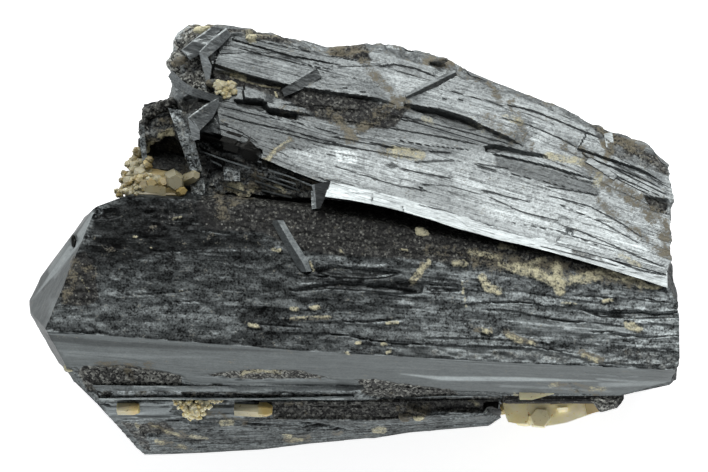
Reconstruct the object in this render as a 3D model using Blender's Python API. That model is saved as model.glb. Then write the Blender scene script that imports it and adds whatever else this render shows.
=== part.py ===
"""Ilvaite with quartz, a hand specimen that lies on its broken back.

Dark grooved prisms have grown side by side, and small quartz has grown on them. Metres, +Z up. X runs along
the prisms, from their pointed ends to their broken ends, and Z = 0 is the surface that the specimen lies on.
Every size and place below is in millimetres, and MM turns it into metres where a mesh is made.
"""

import math
import random

import bmesh
import bpy
from mathutils import Euler, Matrix, Vector

MM = 0.001
GAP = 0.35  # left between neighbours, which touch in the real specimen
CENTRE = Vector((-0.14, -0.21, 0.0))  # the middle of the finished box, which is moved to the origin
SEED = 11
FLUTE_WIDTH = 2.2  # of the grooves that run along every prism
FLUTE_DEPTH = 0.32

# A prism is described by its long edges. Each edge is a list of (x, y, z) from left to right, and the edges
# are in their order round the section: along the top front, down the front, under the base and up the back.
MAIN = {
    "ridge": [(-40, -10.8, 25.3), (-6.4, -13.4, 26.0), (17.6, -14.8, 26.0), (40, -15.8, 25.8)],
    "foot": [(-40, -14.9, 20.7), (-28, -16.0, 20.2), (-18.4, -17.5, 19.6), (-1.6, -17.6, 19.6),
             (10.4, -18.3, 19.2), (32, -18.8, 19.0), (40, -16.6, 20.2)],
    "groove": [(-40, -15.4, 19.4), (-34, -15.8, 19.2), (-31, -17.6, 18.0), (-18, -17.7, 18.2),
               (0.8, -17.9, 18.4), (10.4, -18.3, 18.2), (40, -16.8, 19.0)],
    "rib": [(-40, -15.8, 18.4), (-34.2, -16.7, 18.2), (-30.8, -20.1, 17.2), (-27.5, -19.5, 17.2),
            (0.8, -19.6, 17.4), (10.4, -19.0, 17.4), (32, -18.9, 17.6), (40, -17.2, 18.2)],
    "undercut": [(-40, -14.3, 11.5), (-30, -16.2, 12), (40, -15.6, 12)],
    "base_front": [(-40, -9.5, 0), (40, -13.0, 0)],
    "base_back": [(-40, 5.0, 0), (40, 1.0, 0)],
    "back_low": [(-40, 10.2, 11), (-3, 8.0, 11), (40, 2.6, 11)],
    "shelf": [(-40, 5.6, 22.3), (-20.2, 4.7, 22.7), (-3, 3.1, 22.9), (10, 0.4, 23.3), (40, -5.4, 23.9)],
}
UPPER = {
    "front": [(-24, 14.0, 23.2), (-19.4, 12.7, 23.5), (-13.6, 10.9, 23.9), (-11, 9.5, 24.0),
              (-4.3, 6.9, 24.2), (5.6, 4.0, 24.4), (40, -5.0, 24.5)],
    "front_low": [(-24, 13.6, 17.8), (-4.3, 8.0, 18.6), (5.6, 6.0, 19.0), (40, -2.0, 20.0)],
    "under": [(-24, 17.5, 9.5), (40, 3.5, 9.5)],
    "back_low": [(-24, 24.4, 9.5), (-3.2, 21.4, 9.0), (14, 18.4, 9.0), (40, 7.0, 9.5)],
    "back": [(-24, 26.0, 16.8), (-16, 25.7, 16.6), (-9.4, 24.8, 16.3), (-3.2, 23.0, 16.6),
             (3.2, 23.7, 15.8), (11.0, 21.9, 15.8), (13.6, 20.5, 15.9), (17.6, 18.8, 16.2),
             (22.4, 16.9, 16.4), (29.6, 13.6, 17.2), (35.1, 11.6, 17.6), (40, 7.2, 18.4)],
    "shoulder": [(-24, 24.8, 18.6), (-13.1, 24.1, 18.2), (-9.4, 23.6, 18.1), (-3.2, 21.9, 18.2),
                 (3.2, 22.3, 17.5), (9.2, 20.5, 17.5), (17.6, 17.7, 17.8), (22.4, 15.9, 18.0),
                 (29.6, 12.3, 18.8), (40, 6.2, 20.0)],
}
MIDDLE = {
    "front": [(-26, 8.8, 15.0), (-21, 8.2, 15.8), (-18.4, 5.8, 19.4), (-2.8, 4.6, 22.0), (36, 0.5, 19.5)],
    "front_low": [(-26, 9.4, 8.0), (36, 6.5, 8.0)],
    "base_front": [(-26, 6.6, 0), (36, 4.4, 0)],
    "base_back": [(-26, 13.4, 0), (-4, 14.4, 0), (36, 9.0, 0)],
    "back": [(-26, 15.6, 15.6), (-24.4, 16.4, 15.4), (-22, 16.8, 15.2), (-18, 17.2, 15.0), (36, 8.0, 14.0)],
    "crest": [(-26, 12.2, 17.6), (-21.5, 13.2, 17.8), (-17, 10.2, 20.6), (-2.8, 6.4, 22.4), (36, 3.0, 19.0)],
}
LOWER = {
    "top_back": [(-32, -16.8, 16.4), (18, -16.4, 16.2)],
    "top_front": [(-32, -19.6, 16.7), (18, -19.7, 16.7)],
    "middle": [(-32, -22.0, 15.3), (-10, -21.9, 15.5), (5.6, -21.8, 15.5), (18, -20.8, 15.8)],
    "outline": [(-32, -26.5, 8.6), (-18.4, -26.0, 8.6), (-11.2, -25.6, 8.8), (-5.2, -24.9, 9.2),
                (2.6, -24.2, 9.8), (6.8, -23.5, 10.2), (16.4, -22.7, 10.6), (18, -21.6, 11)],
    "base_front": [(-32, -22.2, 0), (18, -20.0, 0)],
    "base_back": [(-32, -11.5, 0), (18, -13.0, 0)],
    "back": [(-32, -14.5, 12), (18, -14.5, 12)],
}
SMALL_LOWER = {
    "top_back": [(17, -17.6, 17.3), (33, -17.0, 17.3)],
    "top_front": [(17, -19.4, 16.9), (33, -19.5, 16.9)],
    "edge": [(17, -19.8, 15.6), (26.6, -20.2, 15.4), (30, -21.0, 15.0), (33, -20.0, 15.2)],
    "low_front": [(17, -19.0, 13.8), (33, -19.0, 13.8)],
    "low_back": [(17, -14.8, 13.0), (33, -14.8, 13.0)],
}

# The flat ends: a point on each plane, and the direction that it faces.
MAIN_TIP = [
    ((-36.8, -11.0, 25.5), (-0.857, 0.406, 0.318)),
    ((-37.1, -3.9, 16.0), (-0.795, 0.598, 0.04)),
    ((-38.8, -6.8, 16.0), (-0.894, 0.447, 0.02)),
    ((-39.0, -8.0, 16.0), (-0.990, -0.050, 0.06)),
    ((-38.6, -9.6, 16.0), (-0.849, -0.529, 0.10)),
    ((-38.6, -8.0, 13.0), (-0.760, -0.120, -0.640)),
    ((-30.6, 3.5, 18.0), (-0.350, 0.930, 0.05)),
    ((37.7, -6.2, 23.0), (0.880, 0.450, 0.10)),
    ((38.9, -15.2, 19.0), (0.930, -0.360, 0.05)),
]
UPPER_TIP = [
    ((-16.8, 20.0, 20.3), (-0.46, 0.10, 0.88)),
    ((-21.8, 22.0, 17.0), (-0.93, 0.36, -0.05)),
    ((-22.2, 20.0, 17.0), (-1.00, 0.00, -0.05)),
    ((-21.8, 17.4, 17.0), (-0.90, -0.42, 0.04)),
    ((-20.6, 25.3, 17.0), (-0.62, 0.78, -0.05)),
    ((37.8, -3.0, 22.0), (0.94, -0.34, 0.0)),
]
MIDDLE_TIP = [
    ((-25.6, 12.0, 15.0), (-0.985, 0.10, -0.10)),
    ((-25.3, 14.6, 15.0), (-0.93, 0.36, -0.10)),
]
LOWER_TIP = [
    ((-30.8, -19.6, 16.0), (-0.92, -0.36, -0.16)),
    ((-27.7, -23.7, 14.0), (-0.79, -0.61, -0.05)),
    ((-27.0, -22.0, 5.0), (-0.72, -0.20, -0.66)),
]
SMALL_LOWER_TIP = [((32.2, -19.7, 15.2), (0.80, -0.58, 0.15))]

# Plates that lie along a prism's top face: the front and back outlines as (x, y), and how far each rises.
UPPER_PLATES = [
    # the front slab, which overhangs the main crystal
    ([(-3.6, 4.4), (5.6, 3.1), (9.2, 2.0), (17.6, -0.2), (29.6, -2.9), (37.6, -5.7)],
     [(-2.8, 6.7), (6.8, 4.6), (10, 3.8), (18, 1.6), (30, -1.2), (37.8, -3.0)], 0.95, 0.35),
    # the bright blade at the left, and those that fan out from it to the right
    ([(-16.7, 20.7), (-13.6, 19.6), (-6.4, 17.8), (3.8, 16.1)],
     [(-15.6, 24.0), (-12.8, 23.3), (-6.4, 21.9), (2.6, 19.6)], 0.90, 0.15),
    ([(-13.2, 16.6), (-9.0, 15.9)], [(-13.2, 18.2), (-9.2, 17.5)], 0.70, 0.50),
    ([(-10.6, 15.6), (-4.0, 14.4)], [(-10.4, 16.4), (-4.0, 15.2)], 0.75, 0.60),
    ([(-12.0, 10.6), (-4.0, 8.0), (5.0, 6.0)], [(-11.5, 11.9), (-3.0, 10.2), (5.5, 8.8)], 0.55, 0.20),
    ([(3.6, 17.2), (12.0, 14.9), (17.6, 12.6)], [(4.6, 20.8), (12.6, 18.0), (18.0, 15.0)], 0.70, 0.20),
    ([(6.0, 8.2), (16.2, 10.2), (24.0, 8.8), (28.6, 7.4)],
     [(6.6, 12.0), (16.0, 12.6), (24.0, 10.4), (28.8, 8.8)], 0.60, 0.25),
    ([(16.6, 9.8), (29.0, 6.9)], [(17.0, 11.1), (29.2, 9.5)], 0.85, 0.30),
    ([(19.6, 15.2), (25.4, 12.4)], [(19.8, 17.4), (25.8, 14.9)], 0.60, 0.20),
    ([(26.9, 10.4), (36.6, 6.4)], [(27.4, 13.0), (36.6, 8.4)], 0.80, 0.25),
    ([(26.6, 9.2), (37.2, 3.8)], [(26.8, 10.0), (37.2, 5.6)], 0.45, 0.30),
]
MAIN_PLATES = [
    ([(-31.0, -0.8), (-18.0, -1.2)], [(-29.6, 2.7), (-19.4, 2.7)], 0.40, 0.20),
    ([(-20.6, -4.5), (-11.4, -4.7)], [(-19.6, -3.1), (-12.4, -3.2)], 0.35, 0.20),
    ([(-4.6, -3.4), (2.2, -3.5)], [(-5.2, -2.0), (1.4, -2.3)], 0.50, 0.30),
    ([(-34.6, -10.8), (-29.4, -11.1)], [(-35.4, -7.2), (-30.8, -7.7)], 0.35, 0.20),
    ([(-28.4, -6.4), (-17.0, -7.0), (-10.8, -7.1)], [(-27.2, -4.8), (-17.4, -5.2), (-12.8, -5.6)], 0.45, 0.25),
    ([(-9.6, -8.0), (2.0, -8.4), (7.0, -8.1)], [(-8.0, -5.6), (1.0, -5.9), (5.2, -6.4)], 0.45, 0.35),
    ([(-12.4, -11.5), (5.0, -12.0)], [(-10.6, -10.1), (3.4, -10.4)], 0.35, 0.15),
    ([(9.8, -11.7), (22.0, -12.2), (29.0, -12.3)], [(8.4, -9.6), (20.0, -9.8), (26.6, -10.0)], 0.50, 0.20),
    ([(14.2, -9.3), (26.4, -9.5)], [(13.0, -7.8), (24.8, -8.1)], 0.40, 0.20),
    ([(3.6, -14.3), (16.0, -14.6), (23.0, -14.7)], [(3.2, -13.0), (15.0, -13.2), (20.6, -13.4)], 0.35, 0.20),
    ([(18.6, -6.1), (35.0, -6.9)], [(20.0, -4.2), (33.6, -5.8)], 0.35, 0.15),
    ([(33.4, -11.5), (38.0, -11.7)], [(32.6, -9.9), (37.8, -10.0)], 0.50, 0.25),
]
LOWER_PLATES = [
    ([(-30.0, -21.1), (-27.0, -21.6)], [(-30.9, -19.3), (-27.0, -19.3)], 0.10, 0.10),
    ([(-25.5, -21.4), (-10.4, -21.5)], [(-24.8, -20.8), (-11.4, -20.8)], 0.30, 0.20),
]
LOWER_FRONT_PLATES = [
    ([(-24.6, -24.4), (-12.0, -24.0)], [(-25.4, -23.4), (-13.6, -22.8)], 0.80, 0.50),
    ([(-10.6, -23.8), (3.0, -23.0)], [(-9.2, -22.8), (1.4, -22.4)], 0.70, 0.40),
    ([(-20.4, -25.2), (-8.0, -24.9)], [(-19.0, -24.7), (-9.4, -24.4)], 0.60, 0.40),
    ([(4.4, -22.9), (15.6, -22.0)], [(5.2, -22.3), (14.8, -21.6)], 0.60, 0.40),
]
MIDDLE_PLATES = [
    ([(-18.8, 7.4), (-12.4, 6.2)], [(-18.4, 9.8), (-12.0, 8.0)], 0.50, 0.30),
    ([(-25.2, 12.2), (-22.8, 12.6)], [(-24.8, 15.0), (-22.6, 15.9)], 0.60, 0.20),
]

# Thin blades that stand out of the upper crystal's rough end: (x, y, z) round the outline of their tops.
CHEVRONS = [
    [(-17.0, 25.3, 18.9), (-20.6, 22.6, 19.0), (-19.5, 21.2, 18.6), (-18.3, 22.5, 19.0), (-16.2, 24.9, 19.0)],
    [(-15.4, 25.0, 19.2), (-18.8, 22.4, 20.2), (-18.2, 19.9, 20.2), (-16.9, 21.4, 20.4), (-14.9, 24.4, 19.4)],
    [(-18.8, 22.4, 20.1), (-18.4, 20.2, 20.0), (-17.5, 18.7, 19.4), (-17.1, 20.6, 19.9), (-17.3, 22.2, 20.2)],
    [(-16.1, 16.9, 22.2), (-19.9, 14.5, 23.2), (-18.7, 11.9, 23.4), (-18.2, 13.0, 23.6), (-16.8, 15.6, 22.8)],
]
CHEVRON_DEPTH = 2.4

# Needles that cross the prisms: both ends as (x, y), the width, and how far they stand out.
MAIN_NEEDLES = [((-10.0, 2.3), (-5.2, -3.7), 1.2, 0.7)]
UPPER_NEEDLES = [
    ((-8.4, 17.6), (-3.8, 20.0), 2.3, 0.8),
    ((5.6, 16.6), (12.4, 20.3), 1.3, 0.6),
    ((30.2, 12.8), (31.7, 9.8), 1.1, 0.7),
]

# Hollows cut into the tops: the outline as (x, y), the height of their floor, and how much narrower it is.
MIDDLE_HOLLOW = [(-24.4, 9.0), (-23.8, 7.4), (-20.8, 7.8), (-20.0, 10.4), (-21.4, 11.9), (-23.6, 11.2)]
MIDDLE_HOLLOW_FLOOR = 14.6
MAIN_NOTCH = [(-36.2, -1.4), (-33.8, -0.6), (-34.2, 0.8), (-35.6, 0.4)]
MAIN_NOTCH_FLOOR = 18.5
LOWER_HOLLOW = [(10.8, -18.6), (11.6, -20.6), (16.8, -20.9), (18.4, -20.0), (18.4, -18.4)]
LOWER_HOLLOW_FLOOR = 14.4

# The broken right ends: where chips came off, as (y, z), and how large they are.
MAIN_CHIPS = [(-6.5, 24.0), (-17.5, 18.5), (-16.0, 25.5), (-9.5, 19.0), (-2.0, 15.5), (-13.5, 10.0),
              (-5.0, 6.5), (-11.0, 25.5), (1.0, 9.0), (-10.0, 1.5)]
MAIN_CHIP_SIZE = 5.0
UPPER_CHIPS = [(8.6, 18.5), (2.6, 21.8), (-3.0, 24.6), (5.4, 14.5), (1.0, 16.5), (8.0, 11.0), (6.0, 20.6)]
UPPER_CHIP_SIZE = 3.6
LOWER_CHIPS = [(-21.0, 11.0), (-19.0, 7.0), (-20.0, 2.5), (-16.5, 10.5)]
LOWER_CHIP_SIZE = 3.4

# Quartz crystals: the middle, the radius, the length, the direction of the tip, and the bluntness of the tip.
QUARTZ_LEFT = [
    ((-21.9, 7.3, 19.6), 1.45, 4.4, (0.10, -0.20, 1.0), 0.55),
    ((-23.2, 6.1, 20.4), 1.05, 4.6, (1.0, -0.10, 0.05), 0.75),
    ((-20.5, 6.0, 20.4), 0.85, 2.8, (0.30, -0.30, 1.0), 0.50),
    ((-24.6, 7.2, 18.9), 1.05, 3.2, (-0.20, 0.20, 1.0), 0.60),
    ((-26.0, 6.2, 18.7), 1.10, 3.4, (-0.50, -0.10, 0.9), 0.50),
    ((-26.6, 6.4, 17.4), 0.95, 2.4, (-1.0, 0.10, 0.3), 0.50),
    ((-25.8, 7.7, 17.6), 1.00, 2.6, (-0.60, 0.10, 0.8), 0.50),
    ((-26.0, 8.6, 16.2), 0.95, 2.2, (-1.0, 0.10, 0.2), 0.60),
    ((-25.9, 10.0, 16.4), 0.85, 2.0, (-0.60, 0.40, 0.7), 0.60),
    ((-25.7, 9.9, 14.6), 0.90, 2.0, (-0.90, 0.30, -0.2), 0.50),
    ((-26.3, 7.2, 14.4), 1.05, 2.4, (-1.0, 0.00, -0.3), 0.50),
    ((-23.6, 8.6, 17.8), 1.00, 2.8, (0.20, 0.30, 1.0), 0.60),
]
QUARTZ_LEFT_CORE = [(-27.2, 5.4), (-20.4, 5.2), (-20.6, 8.4), (-25.0, 9.6), (-26.2, 10.0)]
QUARTZ_LEFT_CORE_HEIGHTS = (12.6, 19.0)
QUARTZ_LOWER = [
    ((22.8, -20.9, 10.4), 1.55, 4.0, (0.10, -0.50, 1.0), 0.45),
    ((19.5, -20.6, 11.0), 1.30, 3.4, (-0.30, -0.60, 0.8), 0.55),
    ((20.6, -20.9, 8.6), 1.45, 3.6, (-0.20, -1.0, 0.1), 0.55),
    ((25.2, -20.6, 11.2), 1.25, 3.6, (0.40, -0.50, 0.9), 0.55),
    ((24.4, -20.9, 8.2), 1.35, 3.2, (0.10, -1.0, 0.0), 0.50),
    ((27.5, -20.6, 11.8), 1.05, 3.8, (0.90, -0.15, 0.5), 0.60),
    ((22.2, -20.4, 6.2), 1.30, 3.0, (0.00, -0.80, -0.5), 0.55),
    ((18.9, -20.3, 8.8), 1.00, 2.4, (-0.80, -0.60, 0.1), 0.55),
    ((26.6, -20.2, 9.4), 1.05, 2.8, (0.50, -0.80, -0.1), 0.55),
]
QUARTZ_LOWER_CORE = [(19.4, -20.0), (19.8, -14.6), (27.4, -14.6), (27.2, -19.4), (23.0, -20.8)]
QUARTZ_LOWER_CORE_HEIGHTS = (6.8, 11.4)
TIP_LEFT = [((-27.2, -20.5, 17.0), 0.85, 2.7, (1.0, 0.0, 0.06), 0.80)]
TIP_RIGHT = [((-11.6, -20.6, 17.0), 0.95, 3.5, (1.0, -0.05, 0.05), 0.82)]
CLUSTER_MIDDLE = [
    ((-20.4, -20.2, 16.8), 0.90, 2.2, (-0.30, 0.10, 1.0), 0.60),
    ((-19.2, -20.5, 16.9), 1.00, 2.4, (0.10, -0.20, 1.0), 0.60),
    ((-18.0, -20.2, 16.8), 0.85, 2.2, (0.30, 0.10, 1.0), 0.60),
    ((-19.4, -21.0, 16.4), 0.75, 1.8, (0.00, -0.50, 1.0), 0.60),
    ((-17.4, -19.9, 16.9), 0.55, 1.6, (0.80, 0.20, 0.8), 0.60),
]
QUARTZ_UPPER = [
    ((-15.8, 18.0, 21.1), 0.95, 2.2, (-0.40, 0.10, 1.0), 0.60),
    ((-14.6, 17.9, 21.2), 0.90, 2.0, (0.20, 0.20, 1.0), 0.60),
    ((-15.2, 17.3, 21.4), 0.70, 1.8, (0.00, -0.30, 1.0), 0.60),
]

# Name, colour, roughness and metallic value.
ILVAITE = ("ilvaite", (0.022, 0.025, 0.028, 1), 0.38, 0.0)
ILVAITE_BRIGHT = ("ilvaite_bright", (0.16, 0.175, 0.19, 1), 0.30, 0.0)
ILVAITE_DULL = ("ilvaite_dull", (0.03, 0.027, 0.024, 1), 0.75, 0.0)
QUARTZ = ("quartz", (0.62, 0.52, 0.28, 1), 0.35, 0.0)


def clear_scene():
    for item in list(bpy.data.objects):
        bpy.data.objects.remove(item, do_unlink=True)


def material(name, colour, roughness, metallic):
    made = bpy.data.materials.get(name) or bpy.data.materials.new(name)
    made.use_nodes = True
    shader = made.node_tree.nodes["Principled BSDF"]
    shader.inputs["Base Color"].default_value = colour
    shader.inputs["Roughness"].default_value = roughness
    shader.inputs["Metallic"].default_value = metallic
    return made


def add_object(name, bm, finish):
    """Turns a bmesh in millimetres into an object in metres, with flat triangles that face outwards."""
    bmesh.ops.recalc_face_normals(bm, faces=bm.faces)
    bmesh.ops.triangulate(bm, faces=bm.faces)
    bmesh.ops.translate(bm, vec=-CENTRE, verts=bm.verts)
    bmesh.ops.scale(bm, vec=(MM, MM, MM), verts=bm.verts)
    mesh = bpy.data.meshes.new(name)
    bm.to_mesh(mesh)
    bm.free()
    made = bpy.data.objects.new(name, mesh)
    bpy.context.scene.collection.objects.link(made)
    if finish:
        mesh.materials.append(material(*finish))
    return made


def at(edge, x):
    """The (y, z) of an edge at x, straight between its points and beyond its ends."""
    left = 0
    while left < len(edge) - 2 and edge[left + 1][0] < x:
        left += 1
    x0, y0, z0 = edge[left]
    x1, y1, z1 = edge[left + 1]
    part = (x - x0) / (x1 - x0)
    return y0 + (y1 - y0) * part, z0 + (z1 - z0) * part


def section(edges, x, grow):
    """The corners of a prism at x, each moved outwards so that the sides lie `grow` further out."""
    corners = [Vector(at(edge, x)) for edge in edges.values()]
    grown = []
    for i, corner in enumerate(corners):
        before = (corner - corners[i - 1]).normalized()
        after = (corners[(i + 1) % len(corners)] - corner).normalized()
        out_before = Vector((before.y, -before.x))
        out_after = Vector((after.y, -after.x))
        middle = (out_before + out_after).normalized()
        grown.append(corner + middle * (grow / max(0.5, middle.dot(out_before))))
    return grown


def flutes(corners):
    """The grooves of a prism: the side, how far along it each lies, its depth, and where its wave starts."""
    draw = random.Random(SEED)
    found = []
    for i, corner in enumerate(corners):
        after = corners[(i + 1) % len(corners)]
        on_base = corner.y < FLUTE_DEPTH and after.y < FLUTE_DEPTH
        count = 1 if on_base else max(1, round((after - corner).length / FLUTE_WIDTH))
        for j in range(1, count):
            depth = FLUTE_DEPTH * draw.uniform(0.3, 1.0) * (-1) ** j
            found.append((i, (j + draw.uniform(-0.25, 0.25)) / count, depth, draw.uniform(0, math.tau)))
    return found


def fluted(corners, grooves, x):
    """The outline at x: the corners, with a point between them for each groove, which swells and fades."""
    outline = []
    for i, corner in enumerate(corners):
        after = corners[(i + 1) % len(corners)]
        along = (after - corner).normalized()
        outline.append(corner)
        for side, part, depth, phase in grooves:
            if side == i:
                wave = 0.65 + 0.35 * math.sin(phase + x / 5.0)
                outline.append(corner.lerp(after, part) + Vector((along.y, -along.x)) * depth * wave)
    return outline


def prism(edges, start, end, step, grow=0.0):
    """A closed, grooved prism from x = start to x = end."""
    grooves = flutes(section(edges, (start + end) / 2, 0))
    bm = bmesh.new()
    count = max(1, round((end - start) / step))
    rings = []
    for k in range(count + 1):
        x = start + (end - start) * k / count
        rings.append([bm.verts.new((x, y, z)) for y, z in fluted(section(edges, x, grow), grooves, x)])
    for near, far in zip(rings, rings[1:]):
        for i in range(len(near)):
            j = (i + 1) % len(near)
            bm.faces.new((near[i], near[j], far[j], far[i]))
    bm.faces.new(rings[0])
    bm.faces.new(rings[-1])
    return bm


def cut_ends(bm, planes, grow=0.0):
    """Cuts a prism off along each plane and closes the cut."""
    for point, facing in planes:
        normal = Vector(facing).normalized()
        geometry = bm.verts[:] + bm.edges[:] + bm.faces[:]
        bmesh.ops.bisect_plane(
            bm, geom=geometry, plane_co=Vector(point) + normal * grow, plane_no=normal, clear_outer=True
        )
        bmesh.ops.holes_fill(bm, edges=[edge for edge in bm.edges if edge.is_boundary])
    return bm


def top_of(back, front):
    """A function that gives the height of the flat between two edges at (x, y)."""

    def height(x, y):
        y0, z0 = at(back, x)
        y1, z1 = at(front, x)
        return z0 + (z1 - z0) * (y - y0) / (y1 - y0)

    return height


def plate(height, front, back, rise_front, rise_back, sink=1.0):
    """A plate along a face: its outlines run side by side, and it is sunk into the face to hold on to it."""
    bm = bmesh.new()
    rings = []
    for (x0, y0), (x1, y1) in zip(front, back):
        z0, z1 = height(x0, y0), height(x1, y1)
        rings.append([
            bm.verts.new((x0, y0 + 0.12, z0 - sink)),
            bm.verts.new((x0, y0, z0 + rise_front)),
            bm.verts.new((x1, y1, z1 + rise_back)),
            bm.verts.new((x1, y1 + 0.12, z1 - sink)),
        ])
    for near, far in zip(rings, rings[1:]):
        for i in range(4):
            j = (i + 1) % 4
            bm.faces.new((near[i], near[j], far[j], far[i]))
    bm.faces.new(rings[0])
    bm.faces.new(rings[-1])
    return bm


def needle(height, start, end, width, rise, sink=0.8):
    """A six-sided needle half sunk into a face, with slanted ends."""
    first, last = Vector((*start, height(*start))), Vector((*end, height(*end)))
    along = (last - first).normalized()
    side = along.cross(Vector((0, 0, 1))).normalized()
    bm = bmesh.new()
    rings = []
    for spot, inset in ((first, 0.25), (last, -0.25)):
        shoulder = 0.35 * rise
        left = [(-0.5, -sink), (-0.5, shoulder), (-0.28, rise)]
        profile = left + [(-across, up) for across, up in reversed(left)]
        rings.append([
            bm.verts.new(spot + side * across * width + Vector((0, 0, up)) + along * inset * (up > 0))
            for across, up in profile
        ])
    for i in range(6):
        j = (i + 1) % 6
        bm.faces.new((rings[0][i], rings[0][j], rings[1][j], rings[1][i]))
    bm.faces.new(rings[0])
    bm.faces.new(rings[1])
    return bm


def column(outline, low, high, narrowing=1.0):
    """A block over an outline of (x, y), or a cutter whose floor is narrower than its top."""
    middle = sum((Vector(spot) for spot in outline), Vector((0, 0))) / len(outline)
    bm = bmesh.new()
    floor = [bm.verts.new((*middle.lerp(Vector(spot), narrowing), low)) for spot in outline]
    top = [bm.verts.new((*spot, high)) for spot in outline]
    for i in range(len(outline)):
        j = (i + 1) % len(outline)
        bm.faces.new((floor[i], floor[j], top[j], top[i]))
    bm.faces.new(floor)
    bm.faces.new(top)
    return bm


def chevron(outline):
    """A thin blade: its top outline, and the same outline lower down and a little smaller."""
    middle = sum((Vector(spot) for spot in outline), Vector()) / len(outline)
    bm = bmesh.new()
    top = [bm.verts.new(spot) for spot in outline]
    foot = [
        bm.verts.new(middle.lerp(Vector(spot), 0.85) - Vector((0, 0, CHEVRON_DEPTH))) for spot in outline
    ]
    for i in range(len(outline)):
        j = (i + 1) % len(outline)
        bm.faces.new((foot[i], foot[j], top[j], top[i]))
    bm.faces.new(foot)
    bm.faces.new(top)
    return bm


def quartz_crystal(middle, radius, length, direction, bluntness, turn):
    """A six-sided crystal with a flat foot and a pointed tip that is cut blunt."""
    axis = Vector(direction).normalized()
    side = axis.orthogonal().normalized()
    up = axis.cross(side)
    bm = bmesh.new()
    rings = []
    for along, scale in ((-0.5, 0.8), (-0.3, 1.0), (0.5 - 0.45 * radius / length, 1.0), (0.5, bluntness)):
        ring = []
        for k in range(6):
            angle = turn + math.tau * k / 6
            wobble = 1.0 + 0.10 * math.cos(3 * angle + turn)
            spoke = (side * math.cos(angle) + up * math.sin(angle)) * radius * scale * wobble
            ring.append(bm.verts.new(Vector(middle) + axis * along * length + spoke))
        rings.append(ring)
    for near, far in zip(rings, rings[1:]):
        for i in range(6):
            j = (i + 1) % 6
            bm.faces.new((near[i], near[j], far[j], far[i]))
    bm.faces.new(rings[0])
    bm.faces.new(rings[-1])
    return bm


def chips(x, spots, size):
    """Turned blocks that bite into a broken end at x: each spot is the (y, z) where one bites deepest."""
    draw = random.Random(SEED)
    shapes = []
    for y, z in spots:
        bm = bmesh.new()
        turn = Euler([draw.uniform(-0.9, 0.9) for _ in range(3)])
        side = size * draw.uniform(0.8, 1.2)
        matrix = Matrix.Translation((x + 0.40 * side, y, z)) @ turn.to_matrix().to_4x4()
        bmesh.ops.create_cube(bm, size=side, matrix=matrix)
        shapes.append(bm)
    return shapes


def helpers(name, shapes):
    """A collection of closed helper shapes that a Boolean reads and that a render leaves out."""
    kept = bpy.data.collections.new(name)
    bpy.context.scene.collection.children.link(kept)
    for k, bm in enumerate(shapes):
        helper = add_object(f"{name}_{k}", bm, None)
        bpy.context.scene.collection.objects.unlink(helper)
        kept.objects.link(helper)
        helper.hide_render = True
        helper.display_type = "WIRE"
    return kept


def combine(piece, operation, shapes):
    """Joins shapes to a piece, or cuts them from it."""
    boolean = piece.modifiers.new(operation.lower(), "BOOLEAN")
    boolean.operation = operation
    boolean.operand_type = "COLLECTION"
    boolean.solver = "EXACT"
    boolean.collection = helpers(f"{piece.name}_{operation.lower()}", shapes)


def main_body(grow=0.0):
    return cut_ends(prism(MAIN, -44, 38.9, 3.4, grow), MAIN_TIP, grow)


def upper_body(grow=0.0):
    return cut_ends(prism(UPPER, -24, 37.9, 4, grow), UPPER_TIP, grow)


def middle_body(grow=0.0):
    return cut_ends(prism(MIDDLE, -27, 35, 6, grow), MIDDLE_TIP, grow)


def lower_body(grow=0.0):
    return cut_ends(prism(LOWER, -33, 17.8, 5, grow), LOWER_TIP, grow)


def small_lower_body(grow=0.0):
    return cut_ends(prism(SMALL_LOWER, 18.3, 32.6, 5, grow), SMALL_LOWER_TIP, grow)


def make_main():
    piece = add_object("main_crystal", main_body(), ILVAITE)
    height = top_of(MAIN["shelf"], MAIN["ridge"])
    shapes = [plate(height, *sizes) for sizes in MAIN_PLATES]
    shapes += [needle(height, *sizes) for sizes in MAIN_NEEDLES]
    combine(piece, "UNION", shapes)
    notch = column(MAIN_NOTCH, MAIN_NOTCH_FLOOR, 30, 0.5)
    combine(piece, "DIFFERENCE", [notch, *chips(38.9, MAIN_CHIPS, MAIN_CHIP_SIZE)])


def make_upper():
    piece = add_object("upper_crystal", upper_body(), ILVAITE_BRIGHT)
    height = top_of(UPPER["shoulder"], UPPER["front"])
    shapes = [plate(height, *sizes) for sizes in UPPER_PLATES]
    shapes += [needle(height, *sizes) for sizes in UPPER_NEEDLES]
    shapes += [chevron(outline) for outline in CHEVRONS]
    combine(piece, "UNION", shapes)
    combine(piece, "DIFFERENCE", [main_body(GAP), *chips(37.9, UPPER_CHIPS, UPPER_CHIP_SIZE)])


def make_middle():
    piece = add_object("middle_crystal", middle_body(), ILVAITE_DULL)
    height = top_of(MIDDLE["crest"], MIDDLE["front"])
    combine(piece, "UNION", [plate(height, *sizes) for sizes in MIDDLE_PLATES])
    hollow = column(MIDDLE_HOLLOW, MIDDLE_HOLLOW_FLOOR, 30, 0.7)
    combine(piece, "DIFFERENCE", [main_body(GAP), upper_body(GAP), hollow])


def make_lower():
    piece = add_object("lower_crystal", lower_body(), ILVAITE)
    height = top_of(LOWER["top_front"], LOWER["middle"])
    front_height = top_of(LOWER["middle"], LOWER["outline"])
    shapes = [plate(height, *sizes) for sizes in LOWER_PLATES]
    shapes += [plate(front_height, *sizes) for sizes in LOWER_FRONT_PLATES]
    combine(piece, "UNION", shapes)
    hollow = column(LOWER_HOLLOW, LOWER_HOLLOW_FLOOR, 30, 0.8)
    combine(piece, "DIFFERENCE", [main_body(GAP), hollow, *chips(17.8, LOWER_CHIPS, LOWER_CHIP_SIZE)])


def make_small_lower():
    piece = add_object("small_lower_crystal", small_lower_body(), ILVAITE_DULL)
    combine(piece, "DIFFERENCE", [main_body(GAP), lower_body(GAP)])


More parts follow.
